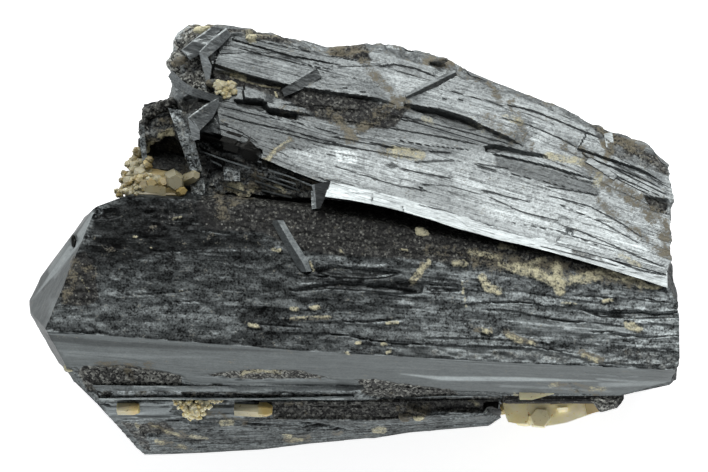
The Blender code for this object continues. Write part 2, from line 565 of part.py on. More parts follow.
def make_quartz(name, core, crystals, neighbours):
    """A growth of quartz: crystals fused to a core, or to the first of them, and cut clear of neighbours."""
    draw = random.Random(SEED)
    shapes = [quartz_crystal(*sizes, draw.uniform(0, 1.0)) for sizes in crystals]
    body = core or shapes.pop(0)
    piece = add_object(name, body, QUARTZ)
    if shapes:
        combine(piece, "UNION", shapes)
    combine(piece, "DIFFERENCE", neighbours)


clear_scene()
make_main()
make_upper()
make_middle()
make_lower()
make_small_lower()
make_quartz(
    "quartz_left",
    column(QUARTZ_LEFT_CORE, *QUARTZ_LEFT_CORE_HEIGHTS),
    QUARTZ_LEFT,
    [main_body(GAP), middle_body(GAP)],
)
make_quartz(
    "quartz_lower",
    column(QUARTZ_LOWER_CORE, *QUARTZ_LOWER_CORE_HEIGHTS),
    QUARTZ_LOWER,
    [main_body(GAP), small_lower_body(GAP), lower_body(GAP)],
)
make_quartz("quartz_tip_left", None, TIP_LEFT, [lower_body(GAP), main_body(GAP)])
make_quartz("quartz_tip_right", None, TIP_RIGHT, [lower_body(GAP), main_body(GAP)])
make_quartz("quartz_cluster_middle", None, CLUSTER_MIDDLE, [lower_body(GAP), main_body(GAP)])
make_quartz("quartz_upper", None, QUARTZ_UPPER, [upper_body(GAP)])
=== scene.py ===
"""The looks of an ilvaite specimen with quartz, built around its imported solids.

Every crystal is a surface worked out with numpy on a grid of rows and columns. Its long edges and flat ends
are those of its solid, in millimetres, and `Shape` turns them into metres. X runs along the crystals, from
their pointed ends to their broken ends.
"""

import math

import bpy
import numpy as np
from bpy.props import FloatProperty, FloatVectorProperty, PointerProperty
from bpy.types import Operator, Panel, PropertyGroup
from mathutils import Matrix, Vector


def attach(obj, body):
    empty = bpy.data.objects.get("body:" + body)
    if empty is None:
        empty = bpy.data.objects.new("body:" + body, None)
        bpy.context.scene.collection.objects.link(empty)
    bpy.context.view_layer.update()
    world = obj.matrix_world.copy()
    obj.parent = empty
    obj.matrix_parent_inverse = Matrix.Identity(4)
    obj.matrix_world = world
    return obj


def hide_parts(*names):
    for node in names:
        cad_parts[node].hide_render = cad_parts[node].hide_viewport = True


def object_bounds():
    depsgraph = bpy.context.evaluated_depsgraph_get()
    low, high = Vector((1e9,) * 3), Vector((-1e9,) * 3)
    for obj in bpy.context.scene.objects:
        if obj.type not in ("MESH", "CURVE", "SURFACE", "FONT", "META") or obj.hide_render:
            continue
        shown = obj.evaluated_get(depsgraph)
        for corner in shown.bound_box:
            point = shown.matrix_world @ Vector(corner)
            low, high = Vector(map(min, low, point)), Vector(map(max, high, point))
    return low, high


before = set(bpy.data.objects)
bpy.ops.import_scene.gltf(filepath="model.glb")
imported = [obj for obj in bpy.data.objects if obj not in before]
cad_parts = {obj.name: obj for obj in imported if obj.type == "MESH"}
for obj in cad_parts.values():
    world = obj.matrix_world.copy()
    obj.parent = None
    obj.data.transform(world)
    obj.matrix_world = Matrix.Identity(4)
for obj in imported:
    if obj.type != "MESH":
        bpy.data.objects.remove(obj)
CAD_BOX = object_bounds()

bl_info = {
    "name": "Ilvaite specimen",
    "version": (1, 0, 0),
    "blender": (4, 5, 0),
    "location": "3D View > Sidebar > Specimen",
    "description": "Builds grooved ilvaite crystals with small quartz on them, and a studio around them",
    "category": "Add Mesh",
}

CENTRE = (-0.14, -0.21)  # the specimen's middle in the measurements below, which is the frame's origin
FRAME_LENGTH = 78.1  # of the specimen in the measurements below
# The first mask is painted shade: it darkens cracks and hollows.
MASKS = ("crevice", "druse", "rust", "cream", "shade", "smooth", "calm")  # how much of each a point has
MILLIMETRE = 0.001  # in metres
REPEAT = 256  # whole steps after which the noise comes round again
SAMPLES = 600  # places along a prism at which its columns are tested against its flat ends
FACING = (0.15, 0.45)  # upward parts of a direction between which relief and dark marks fade in
WALL = 0.14  # half the width of a hollow's steep wall

# Long edges, each a list of (x, y, z) from left to right, in their order round the section.
MAIN = {
    "ridge": [(-40, -10.8, 25.3), (-6.4, -13.4, 26), (17.6, -14.8, 26), (40, -15.8, 25.8)],
    "foot": [(-40, -14.9, 20.7), (-28, -16, 20.2), (-18.4, -17.5, 19.6), (-1.6, -17.6, 19.6),
             (10.4, -18.3, 19.2), (32, -18.8, 19), (40, -16.6, 20.2)],
    "groove": [(-40, -15.4, 19.8), (-34, -15.8, 19.8), (-31, -17, 19.5), (-18, -17.7, 19.4),
               (0.8, -17.9, 19.3), (10.4, -18.3, 18.9), (40, -16.8, 19.5)],
    "rib": [(-40, -15.8, 18.4), (-34.2, -16.7, 18.2), (-30.8, -20.1, 17.2), (-27.5, -19.5, 17.2),
            (0.8, -19.6, 17.4), (10.4, -19, 17.4), (32, -18.9, 17.6), (40, -17.2, 18.2)],
    "undercut": [(-40, -14.3, 11.5), (-30, -16.2, 12), (40, -15.6, 12)],
    "base_front": [(-40, -9.5, 0), (40, -13, 0)],
    "base_back": [(-40, 5, 0), (40, 1, 0)],
    "back_low": [(-40, 10.2, 11), (-3, 8, 11), (40, 2.6, 11)],
    "shelf": [(-40, 5.6, 22.3), (-20.2, 4.7, 22.7), (-3, 3.1, 22.9), (10, 0.4, 23.3), (40, -5.4, 23.9)],
}
UPPER = {
    "front": [(-24, 14, 23.2), (-19.4, 12.7, 23.5), (-13.6, 10.9, 23.9), (-11, 9.5, 24), (-4.3, 6.9, 24.2),
              (5.6, 4, 24.4), (40, -5, 24.5)],
    "front_low": [(-24, 13.6, 17.8), (-4.3, 8, 18.6), (5.6, 6, 19), (40, -2, 20)],
    "under": [(-24, 17.5, 9.5), (40, 3.5, 9.5)],
    "back_low": [(-24, 24.4, 9.5), (-3.2, 21.4, 9), (14, 18.4, 9), (40, 7, 9.5)],
    "back": [(-24, 26, 16.8), (-16, 25.7, 16.6), (-9.4, 24.8, 16.3), (-3.2, 23, 16.6), (3.2, 23.7, 15.8),
             (11, 21.9, 15.8), (13.6, 20.5, 15.9), (17.6, 18.8, 16.2), (22.4, 16.9, 16.4),
             (29.6, 13.6, 17.2), (35.1, 11.6, 17.6), (40, 7.2, 18.4)],
    "shoulder": [(-24, 24.8, 18.6), (-13.1, 24.1, 18.2), (-9.4, 23.6, 18.1), (-3.2, 21.9, 18.2),
                 (3.2, 22.3, 17.5), (9.2, 20.5, 17.5), (17.6, 17.7, 17.8), (22.4, 15.9, 18),
                 (29.6, 12.3, 18.8), (40, 6.2, 20)],
}
MIDDLE = {
    "front": [(-26, 8.8, 15), (-21, 8.2, 15.8), (-18.4, 5.8, 19.4), (-2.8, 4.6, 22), (36, 0.5, 19.5)],
    "front_low": [(-26, 9.4, 8), (36, 6.5, 8)],
    "base_front": [(-26, 6.6, 0), (36, 4.4, 0)],
    "base_back": [(-26, 13.4, 0), (-4, 14.4, 0), (36, 9, 0)],
    "back": [(-26, 15.6, 15.6), (-24.4, 16.4, 15.4), (-22, 16.8, 15.2), (-18, 17.2, 15), (36, 8, 14)],
    "crest": [(-26, 12.2, 17.6), (-21.5, 13.2, 17.8), (-17, 10.2, 20.6), (-2.8, 6.4, 22.4), (36, 3, 19)],
}
LOWER = {
    "top_back": [(-32, -16.8, 16.4), (18, -16.4, 16.2)],
    "top_front": [(-32, -19.6, 16.7), (18, -19.7, 16.7)],
    "middle": [(-32, -22, 15.3), (-10, -21.9, 15.5), (5.6, -21.8, 15.5), (18, -20.8, 15.8)],
    "outline": [(-32, -26.5, 8.6), (-18.4, -26, 8.6), (-11.2, -25.6, 8.8), (-5.2, -24.9, 9.2),
                (2.6, -24.2, 9.8), (6.8, -23.5, 10.2), (16.4, -22.7, 10.6), (18, -21.6, 11)],
    "base_front": [(-32, -22.2, 0), (18, -20, 0)],
    "base_back": [(-32, -11.5, 0), (18, -13, 0)],
    "back": [(-32, -14.5, 12), (18, -14.5, 12)],
}
SMALL_LOWER = {
    "top_back": [(17, -17.6, 17.3), (33, -17, 17.3)],
    "top_front": [(17, -19.4, 16.9), (33, -19.5, 16.9)],
    "edge": [(17, -19.8, 15.6), (29, -19.8, 15.5), (29.8, -20.9, 15), (33, -20, 15.2)],
    "low_front": [(17, -19, 13.8), (33, -19, 13.8)],
    "low_back": [(17, -14.8, 13), (33, -14.8, 13)],
}

# The flat ends: a point on each plane, and the direction that it faces.
MAIN_TIP = [
    ((-36.8, -11, 25.5), (-0.857, 0.406, 0.318)), ((-37.1, -3.9, 16), (-0.795, 0.598, 0.04)),
    ((-38.8, -6.8, 16), (-0.894, 0.447, 0.02)), ((-39, -8, 16), (-0.99, -0.05, 0.06)),
    ((-38.6, -9.6, 16), (-0.849, -0.529, 0.1)), ((-38.6, -8, 13), (-0.76, -0.12, -0.64)),
    ((-30.6, 3.8, 18), (-0.35, 0.93, -0.01)), ((37.7, -6.2, 23), (0.88, 0.45, 0.1)),
    ((38.9, -15.2, 19), (0.93, -0.36, 0.05)),
]
UPPER_TIP = [
    ((-16.8, 20, 20.3), (-0.46, 0.3, 0.88)), ((-21.8, 22, 17), (-0.93, 0.36, -0.05)),
    ((-22.2, 20, 17), (-1, 0, -0.05)), ((-21.8, 17.4, 17), (-0.9, -0.42, 0.04)),
    ((-20.6, 25.3, 17), (-0.62, 0.78, -0.05)), ((37.8, -3, 22), (0.94, -0.34, 0)),
]
MIDDLE_TIP = [((-25.6, 12, 15), (-0.985, 0.1, -0.1)), ((-25.3, 14.6, 15), (-0.93, 0.36, -0.1))]
LOWER_TIP = [
    ((-30.8, -19.6, 16), (-0.92, -0.36, -0.16)), ((-27.7, -23.7, 14), (-0.79, -0.61, -0.05)),
    ((-27, -22, 5), (-0.72, -0.2, -0.66)),
]
SMALL_LOWER_TIP = [((32.2, -19.7, 15.2), (0.8, -0.58, 0.15))]

# How each crystal is finished: the degrees its streaks turn from x, its roughness, and how strong its
# streaks, grains and bumps are.
FINISHES = {
    "main": (-3.2, 0.40, 0.22, 0.95, 0.35),
    "upper": (-16, 0.40, 0.54, 0.42, 0.70),
    "middle": (-8, 0.45, 0.60, 1.20, 0.80),
    "lower": (2, 0.36, 1.00, 0.80, 0.60),
    "small_lower": (0, 0.40, 0.60, 0.80, 0.60),
}


# -------- numbers

def noise(x, y, seed):
    """Smooth noise from -1 to 1: a random value on each whole-number corner, eased between the corners."""
    table = np.random.default_rng(seed).uniform(-1, 1, (REPEAT, REPEAT))
    i, j = np.floor(x).astype(int), np.floor(y).astype(int)
    u, v = x - i, y - j
    u, v = u * u * (3 - 2 * u), v * v * (3 - 2 * v)
    i, j, after_i, after_j = i % REPEAT, j % REPEAT, (i + 1) % REPEAT, (j + 1) % REPEAT
    near = table[i, j] * (1 - v) + table[i, after_j] * v
    far = table[after_i, j] * (1 - v) + table[after_i, after_j] * v
    return near * (1 - u) + far * u


def layers(x, y, seed, count=4):
    """Noise in layers, each half as coarse and half as strong as the one before."""
    return sum(noise(x * 2**k, y * 2**k, seed + k) / 2**k for k in range(count))


def ease(value, low, high):
    """0 below low, 1 above high, and an S-curve between."""
    part = np.clip((value - low) / (high - low), 0, 1)
    return part * part * (3 - 2 * part)


def blocks(s, t, length, width, seed, levels):
    """Staggered blocks: lanes of uneven width across t, each cut into blocks along s with oblique ends.

    Returns each point's level from -1 to 1, the tilt of its block from -1 to 1, and its place across the
    lane from -1 to 1. Blocks of one level that meet become one longer block.
    """
    repeat = 64  # blocks after which a lane comes round again
    draw = np.random.default_rng(seed)
    count = int(np.ptp(t) / width * 2) + 8
    edges = t.min() - width + np.cumsum(draw.uniform(0.4, 1.6, count)) * width
    lane = np.clip(np.searchsorted(edges, t), 1, count - 1)
    across = np.clip(2 * (t - edges[lane - 1]) / (edges[lane] - edges[lane - 1]) - 1, -1, 1)
    shift = draw.uniform(0, 50, count)[lane]
    slant = draw.uniform(-2.5, 2.5, count)[lane] * across * width
    place = (s + slant) / length + shift
    block = np.floor(place + 0.3 * np.sin(place * 2.1 + shift)).astype(int)
    level = draw.integers(0, levels, (count, repeat))[lane, block % repeat] / (levels - 1) * 2 - 1
    tilt = draw.uniform(-1, 1, (count, repeat))[lane, block % repeat]
    return level, tilt, across


def beside(line, x, y, reach):
    """Where points lie beside a broken line of (x, y).

    Returns which of them are within reach, and for those the distance from the line, positive on its left,
    and how far along it each lies, from 0 to 1.
    """
    line = np.array(line, float)
    low, high = line.min(0) - reach, line.max(0) + reach
    found = (x > low[0]) & (x < high[0]) & (y > low[1]) & (y < high[1])
    spots = np.stack([x[found], y[found]], 1)
    steps = np.diff(line, axis=0)
    sizes = np.linalg.norm(steps, axis=1)
    starts = np.concatenate([[0], np.cumsum(sizes)])
    best = np.full(len(spots), np.inf)
    side = np.zeros(len(spots))
    along = np.zeros(len(spots))
    for start, step, size, before in zip(line, steps, sizes, starts):
        away = spots - start
        part = np.clip(away @ step / size**2, 0, 1)
        off = away - part[:, None] * step
        distance = np.linalg.norm(off, axis=1)
        closer = distance < best
        best = np.where(closer, distance, best)
        turn = step[0] * away[:, 1] - step[1] * away[:, 0]
        side = np.where(closer, np.sign(turn), side)
        along = np.where(closer, (before + part * size) / starts[-1], along)
    return found, best * np.where(side == 0, 1, side), along


def within(outline, x, y, blur):
    """Which points are inside a closed outline or within blur of it, and how far inside each is: 0 to 1."""
    closed = np.vstack([outline, outline[:1]])
    found, off, _ = beside(closed, x, y, blur)
    px, py = x[found], y[found]
    crossed = np.zeros(len(px), bool)
    for (x0, y0), (x1, y1) in zip(closed, closed[1:]):
        if y0 != y1:
            spans = (y0 > py) != (y1 > py)
            crossed ^= spans & (px < x0 + (x1 - x0) * (py - y0) / (y1 - y0))
    depth = np.where(crossed, np.abs(off), -np.abs(off))
    return found, ease(depth, -blur, blur)


def keep_stronger(values, found, part):
    """Puts new values in the found places of a mask wherever they are further from 0 than the old ones."""
    values[found] = np.where(np.abs(part) > np.abs(values[found]), part, values[found])


class Relief:
    """The height that is added to a surface, and the masks of its finishes, at plan places x and y.

    `facing` is 1 where the surface looks up, `across` is how far round its section a point lies, and
    `lateral` is 1 on the long sides and 0 on the ends.
    """

    def __init__(self, x, y, facing, across, lateral):
        self.x, self.y, self.facing = x, y, facing
        self.across, self.lateral = across, lateral
        self.height = np.zeros_like(x)
        self.masks = {}

    def add(self, values):
        self.height += values

    def roughen(self, where, rise, length, width, seed, count=4):
        """Adds noise up to about the rise, with knobs of a length along x and a width along y."""
        self.add(where * rise * layers(self.x / length, self.y / width, seed, count))

    def mask(self, name):
        return self.masks.setdefault(name, np.zeros_like(self.x))

    def cracks(self, lines, share=0.75):
        """Half-round grooves, narrow at both ends, at a share of their sizes, with painted shade inside:
        (line, half width, depth).
        """
        for line, width, depth in lines:
            width, depth = width * share, depth * share
            found, off, along = beside(line, self.x, self.y, width)
            narrow = np.maximum(width * np.sqrt(np.clip(4 * along * (1 - along), 0.02, 1)), 0.03)
            part = np.clip(1 - (off / narrow) ** 2, 0, 1)
            self.height[found] -= depth * np.sqrt(part) * self.facing[found]
            dark = self.mask("crevice")
            dark[found] = np.maximum(dark[found], share * part)

    def ledges(self, lines):
        """Steps: the left of each line rises sharply and sinks back over the fade: (line, rise, fade)."""
        for line, rise, fade in lines:
            found, off, along = beside(line, self.x, self.y, fade)
            ends = ease(np.minimum(along, 1 - along), 0.0, 0.08)
            ramp = np.where(off > 0, np.clip(1 - off / fade, 0, 1), 0) * ease(off, -0.05, 0.08)
            self.height[found] += 0.6 * rise * ramp * ends * self.facing[found]

    def patches(self, name, lines):
        """Soft-edged patches of a finish round broken lines: (line, half width, strength)."""
        values = self.mask(name)
        for line, width, strength in lines:
            found, off, _ = beside(line, self.x, self.y, width * 1.6)
            keep_stronger(values, found, strength * (1 - ease(np.abs(off), width * 0.4, width * 1.6)))

    def plates(self, lines):
        """Flat plates between two lines that run side by side: (front, back, rise in front, rise behind)."""
        for front, back, rise_front, rise_back in lines:
            front, back = np.array(front, float), np.array(back, float)
            low = np.interp(self.x, front[:, 0], front[:, 1])
            high = np.interp(self.x, back[:, 0], back[:, 1])
            part = (self.y - low) / np.maximum(high - low, 0.05)
            shown = np.clip(part, 0, 1)
            start = front[0, 0] + (back[0, 0] - front[0, 0]) * shown
            end = front[-1, 0] + (back[-1, 0] - front[-1, 0]) * shown
            inside = (part > 0) & (part < 1) & (self.x > start) & (self.x < end)
            fade = ease(end - self.x, 0, min(3.0, 0.4 * (front[-1, 0] - front[0, 0])))
            rise = (rise_front + (rise_back - rise_front) * shown) * fade
            self.height += np.where(inside, rise, 0) * self.facing

    def areas(self, name, outlines):
        """A finish inside outlines, with soft edges: (outline, strength, blur)."""
        values = self.mask(name)
        for outline, strength, blur in outlines:
            found, part = within(outline, self.x, self.y, blur)
            keep_stronger(values, found, strength * part)

    def tone(self, where, places, shares):
        """Makes the finish lighter or darker along x, on part of the surface."""
        shade = self.mask("shade")
        share = 1 + (np.interp(self.x, places, shares) - 1) * where
        shade[:] = share * (1 + shade) - 1

    def hollows(self, outlines):
        """Hollows with steep walls inside outlines, darkened with painted shade: (outline, depth)."""
        dark = self.mask("crevice")
        for outline, depth in outlines:
            found, part = within(outline, self.x, self.y, WALL)
            self.height[found] -= depth * part * self.facing[found]
            dark[found] = np.maximum(dark[found], min(0.9, 0.8 * depth) * part)


# -------- surfaces

def longer(edge):
    """An edge's points with one more 10 mm beyond each end, straight on."""
    points = np.array(edge, float)
    first = points[0] - (points[1] - points[0]) / (points[1, 0] - points[0, 0]) * 10
    last = points[-1] + (points[-1] - points[-2]) / (points[-1, 0] - points[-2, 0]) * 10
    return np.vstack([first, points, last])


def side_points(edges, side, part, x):
    """The y and z at each x of columns between two edges: `part` of the way from one to the next."""
    rails = [longer(edge) for edge in edges.values()]
    found = np.zeros((2, *x.shape))
    for k, rail in enumerate(rails):
        after = rails[(k + 1) % len(rails)]
        mine = side == k
        for axis in (1, 2):
            start = np.interp(x[:, mine], rail[:, 0], rail[:, axis])
            end = np.interp(x[:, mine], after[:, 0], after[:, axis])
            found[axis - 1][:, mine] = start + (end - start) * part[mine]
    return found


def prism(edges, start, end, planes, spacing, rows, caps):
    """A closed prism as a grid of points: rows along it and columns round it.

    Every column runs from the first to the last x at which it is inside all the planes. The ends go on
    inwards in rings, each drawn in towards the section's middle, and lie on the planes that face that way.
    Returns the points (rows, columns, 3), the side of each column, and how far round each column lies.
    """
    halfway = (start + end) / 2
    rails = [longer(edge).T for edge in edges.values()]
    middle = np.array([[np.interp(halfway, rail[0], rail[axis]) for axis in (1, 2)] for rail in rails])
    sizes = np.linalg.norm(np.roll(middle, -1, 0) - middle, axis=1)
    counts = [max(2, round(size / spacing.get(name, 1.0))) for name, size in zip(edges, sizes)]
    side = np.repeat(np.arange(len(edges)), counts)
    part = np.concatenate([np.arange(count) / count for count in counts])
    place = np.concatenate([[0], np.cumsum(sizes)])[side] + part * sizes[side]

    points = np.array([point for point, _ in planes])
    facing = np.array([normal for _, normal in planes])
    limits = (points * facing).sum(1)
    samples = np.broadcast_to(np.linspace(start, end, SAMPLES)[:, None], (SAMPLES, len(side)))
    y, z = side_points(edges, side, part, samples)
    xs, ys, zs = (values[..., None] for values in (samples, y, z))
    outside = np.max(xs * facing[:, 0] + ys * facing[:, 1] + zs * facing[:, 2] - limits, -1)
    inside = outside <= 0
    first, last = inside.argmax(0), SAMPLES - 1 - inside[::-1].argmax(0)

    def crossing(inner, step):
        """The x at which each column passes from its last place inside to the next one outside."""
        outer = np.clip(inner + step, 0, SAMPLES - 1)
        columns = np.arange(len(side))
        a, b = outside[inner, columns], outside[outer, columns]
        share = np.where(outer == inner, 0, np.clip(a / np.where(a == b, 1, a - b), 0, 1))
        return samples[inner, 0] * (1 - share) + samples[outer, 0] * share

    left, right = crossing(first, -1), crossing(last, 1)
    share = np.linspace(0, 1, rows)[:, None]
    x = left + (right - left) * share
    y, z = side_points(edges, side, part, x)
    body = np.stack([x, y, z], -1)

    def cap(ring, count, leftwards):
        """Rings drawn in from the last one, each point moved along x onto the planes that face that way."""
        centre = ring[:, 1:].mean(0)
        scale = (1 - (np.arange(1, count + 1) / (count + 0.5)))[:, None, None]
        spots = centre + (ring[None, :, 1:] - centre) * scale
        chosen = facing[:, 0] < -0.05 if leftwards else facing[:, 0] > 0.05
        flat = (limits[chosen] - spots @ facing[chosen][:, 1:].T) / facing[chosen][:, 0]
        if not chosen.any():
            depth = np.full(spots.shape[:2], start if leftwards else end)
        elif leftwards:
            depth = np.maximum(flat.max(-1), start)
        else:
            depth = np.minimum(flat.min(-1), end)
        for _ in range(4):  # wears the creases down a little
            depth[1:-1] = (depth[:-2] + 2 * depth[1:-1] + depth[2:]) / 4
        return np.concatenate([depth[..., None], spots], -1)

    first_cap = cap(body[0], caps[0], True)[::-1]
    last_cap = cap(body[-1], caps[1], False)
    return np.concatenate([first_cap, body, last_cap]), side, place


def normals(grid):
    """The outward direction at each point of a grid whose columns close up round it."""
    along = np.gradient(grid, axis=0)
    round_it = np.roll(grid, -1, 1) - np.roll(grid, 1, 1)
    found = np.cross(along, round_it)
    found /= np.linalg.norm(found, axis=-1, keepdims=True) + 1e-9
    volume = (found * (grid - grid.mean((0, 1)))).sum()
    return found * np.sign(volume)


def closed_skin(grid):
    """The points and faces of a grid that closes up round its columns, with a pole at each end."""
    rows, columns = grid.shape[:2]
    points = np.concatenate([grid.reshape(-1, 3), grid[0].mean(0)[None], grid[-1].mean(0)[None]])
    here = np.arange(rows * columns).reshape(rows, columns)
    right = np.roll(here, -1, 1)
    quads = np.stack([here[:-1], right[:-1], right[1:], here[1:]], -1).reshape(-1, 4)
    first = np.stack([right[0], here[0], np.full(columns, rows * columns)], -1)
    last = np.stack([here[-1], right[-1], np.full(columns, rows * columns + 1)], -1)
    return points, quads, np.concatenate([first, last])


def outward(points, quads, triangles):
    """Turns every face round if the closed shape they make has a negative volume."""
    every = np.concatenate([quads[:, [0, 1, 2]], quads[:, [0, 2, 3]], triangles])
    a, b, c = (points[every[:, k]] for k in range(3))
    if (np.cross(b - a, c - a) * (a - points.mean(0))).sum() < 0:
        return quads[:, ::-1], triangles[:, ::-1]
    return quads, triangles


class Shape:
    """Collects closed grids into one mesh, with the masks of their finishes."""

    def __init__(self, scale):
        self.scale = scale
        self.points, self.quads, self.triangles = [], [], []
        self.masks = []
        self.count = 0

    def add(self, grid, masks):
        """Adds a closed grid. Each pole of it takes the average of the masks round it."""
        points, quads, triangles = closed_skin(grid)
        quads, triangles = outward(points, quads, triangles)
        self.points.append(points)
        self.quads.append(quads + self.count)
        self.triangles.append(triangles + self.count)
        self.count += len(points)
        full = {}
        for name, values in masks.items():
            full[name] = np.concatenate([values.ravel(), [values[0].mean(), values[-1].mean()]])
        self.masks.append((len(points), full))

    def make(self, name, material, node, slot="ilvaite", sharp=30.0):
        """Makes the object, in metres and inside the solids' box. Edges above `sharp` degrees stay sharp."""
        points = (np.concatenate(self.points) - [*CENTRE, 0]) * MILLIMETRE * self.scale
        points = np.clip(points, *np.array(CAD_BOX))
        faces = [*np.concatenate(self.quads).tolist(), *np.concatenate(self.triangles).tolist()]
        mesh = bpy.data.meshes.new(name)
        mesh.from_pydata(points.tolist(), [], faces)
        for key in MASKS:
            values = np.concatenate([full.get(key, np.zeros(count)) for count, full in self.masks])
            mesh.attributes.new(key, "FLOAT", "POINT").data.foreach_set("value", values.astype(np.float32))
        mesh.materials.append(material)
        mesh.shade_smooth()
        mesh.set_sharp_from_angle(angle=math.radians(sharp))
        mesh.validate()
        piece = bpy.data.objects.new(name, mesh)
        bpy.context.scene.collection.objects.link(piece)
        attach(piece, "root")
        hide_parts(node)


# -------- finishes

def plug(tree, node, values):
    """Links or sets a node's sockets."""
    for key, value in values.items():
        if isinstance(value, Wire):
            tree.links.new(value.socket, node.inputs[key])
        else:
            node.inputs[key].default_value = value


class Wire:
    """A shader value: operators add its Math nodes, and `node` adds any other node."""

    def __init__(self, tree, socket=None):
        self.tree, self.socket = tree, socket

    def node(self, kind, inputs=None, output=0, **settings):
        made = self.tree.nodes.new(kind)
        for key, value in settings.items():
            setattr(made, key, value)
        plug(self.tree, made, inputs or {})
        return Wire(self.tree, made.outputs[output])

    def maths(self, operation, *values):
        return self.node("ShaderNodeMath", dict(enumerate(values)), operation=operation)

    def __add__(self, other):
        return self.maths("ADD", self, other)

    def __sub__(self, other):
        return self.maths("SUBTRACT", self, other)

    def __rsub__(self, other):
        return self.maths("SUBTRACT", other, self)

    def __mul__(self, other):
        return self.maths("MULTIPLY", self, other)

    __radd__, __rmul__ = __add__, __mul__

    def between(self, low, high):
        """0 where the value is below low, 1 above high, and a straight line between."""
        inputs = {"Value": self, "From Min": low, "From Max": high}
        return self.node("ShaderNodeMapRange", inputs, clamp=True)

    def mix(self, first, second):
        """The first colour where the value is 0 and the second where it is 1."""
        return self.node("ShaderNodeMix", {0: self, 6: first, 7: second}, output=2, data_type="RGBA")

    def times(self, colour):
        """The colour, made lighter or darker by the value."""
        return self.node("ShaderNodeVectorMath", {0: colour, 1: self}, operation="MULTIPLY")

    def mask(self, name):
        """What the mesh holds under a name."""
        return self.node("ShaderNodeAttribute", output=2, attribute_name=name)

    def grains(self, size, detail):
        """Noise from 0 to 1 at the places that the value gives, with grains of a size in millimetres."""
        return self.node("ShaderNodeTexNoise", {"Vector": self, "Scale": 1000 / size, "Detail": detail})

    def bump(self, height, strength=1.0):
        """Directions bent by a height in millimetres."""
        return self.node("ShaderNodeBump", {"Strength": strength, "Distance": MILLIMETRE, "Height": height})


def finish(name):
    """A new material, its Principled shader, a Wire to start from and its places on the object."""
    made = bpy.data.materials.new(name)
    made.use_nodes = True
    wire = Wire(made.node_tree)
    return made, made.node_tree.nodes["Principled BSDF"], wire, wire.node("ShaderNodeTexCoord", output=3)


def rgb(colour, share=1.0):
    """A colour with its light multiplied by a share, and solid."""
    return (*[channel * share for channel in colour[:3]], 1.0)


def ilvaite_finish(piece, settings, colour):
    """Dark, half metallic crystal: fine streaks along it, grains, and dull, rusty and creamy places."""
    turn, roughness, streak, grain, grooves = FINISHES[piece]
    material, shader, wire, place = finish("ilvaite_" + piece)
    mask = {key: wire.mask(key) for key in MASKS}
    # shade makes the colour lighter or darker: in places it is the crystal's own tone, in places painted
    # light and painted shade.
    calm, lit = mask["calm"], 1.0 + mask["shade"]

    def streaks(along, across, detail=2.0):
        """Noise from -0.5 to 0.5 that is drawn out along the prism, with its two sizes in millimetres."""
        turned = wire.node(
            "ShaderNodeMapping",
            {
                "Vector": place,
                "Rotation": (0, 0, math.radians(turn)),
                "Scale": (along / 1000, across / 1000, across / 1000),
            },
            vector_type="TEXTURE",
        )
        inputs = {"Vector": turned, "Scale": 1.0, "Detail": detail, "Roughness": 0.6}
        return wire.node("ShaderNodeTexNoise", inputs) - 0.5

    fine, lanes = streaks(2.6, 0.16), streaks(9.0, 0.5, 3.0)
    broad, thin = streaks(20.0, 1.8, 3.0), streaks(5.0, 0.13, 1.0)
    tiny, patchy = place.grains(0.24, 2.0) - 0.5, place.grains(1.0, 6.0) - 0.5
    cloudy, crumbly = place.grains(3.0, 4.0) - 0.5, place.grains(0.6, 6.0) - 0.5
    cells = {"Vector": place, "Scale": 1000 / 0.26}
    cell_colour = wire.node("ShaderNodeTexVoronoi", cells, output=1)
    lucky = wire.node("ShaderNodeSeparateColor", {0: cell_colour}, output=0)  # a random value for each cell
    near = wire.node("ShaderNodeTexVoronoi", cells, output=0)
    glints = lucky.between(0.88, 0.92) * (0.5 - near).between(0.0, 0.2)

    druse = (mask["druse"] + patchy).between(0.35, 0.65)
    rust = (mask["rust"] * 0.8 + patchy * 2.0 + tiny * 1.2).between(0.35, 0.80)
    cream = (mask["cream"] * (1.0 + crumbly * 2.6 + tiny * 1.6)).between(0.30, 0.95)

    rough_share = 1.0 - mask["smooth"] * 0.85
    bright, dark = thin.between(0.12, 0.20), (thin * -1.0).between(0.10, 0.18)
    lines = fine * 2.4 + lanes * 1.6 + broad * 1.4 + bright * 0.9 - dark * 0.7
    specks = tiny * (3.0 + calm) + (lucky - 0.5) * 0.9 + patchy * (2.0 + calm) + cloudy * (1.4 + calm * 1.6)
    wave = lines * streak * (1.0 - calm * 0.75) + specks * rough_share * grain
    base = (wire.maths("MAXIMUM", 1.0 + wave, 0.12) * lit).times(rgb(colour)[:3])

    sparkle = 0.15 + lucky * lucky * lucky * 4.5 + tiny * 4.0 + patchy * 1.6
    crumbs = (sparkle * lit).times(rgb(settings.druse_colour)[:3])
    blotches = tiny + patchy + 0.5
    body = druse.mix(base, glints.mix(crumbs, rgb(settings.druse_colour, 5.0)))
    body = rust.mix(body, blotches.mix(rgb(settings.rust_colour, 0.3), rgb(settings.rust_colour, 1.4)))
    body = cream.mix(body, blotches.mix(rgb(settings.cream_colour, 0.7), rgb(settings.cream_colour, 1.35)))
    # Painted shade: cracks and hollows are turned nearly black.
    body = mask["crevice"].between(0.2, 0.9).mix(body, rgb((0.011, 0.011, 0.010)))
    grooved = (fine * 0.035 + lanes * 0.05 + (tiny * 0.05 + patchy * 0.04) * rough_share) * grooves
    crusted = (tiny + lucky * 0.4) * (druse + cream + rust) * 0.06
    plug(wire.tree, shader, {
        "Base Color": body,
        "Roughness": roughness + fine * 0.3 + druse * 0.25 + rust * 0.3 + cream * 0.35,
        "Metallic": settings.metal * (1 - rust) * (1 - cream) * (1 - druse * 0.7),
        "IOR": settings.gloss,
        "Specular Tint": (0.5, 0.5, 0.5, 1.0),
        "Normal": wire.bump(grooved + crusted),
    })
    return material


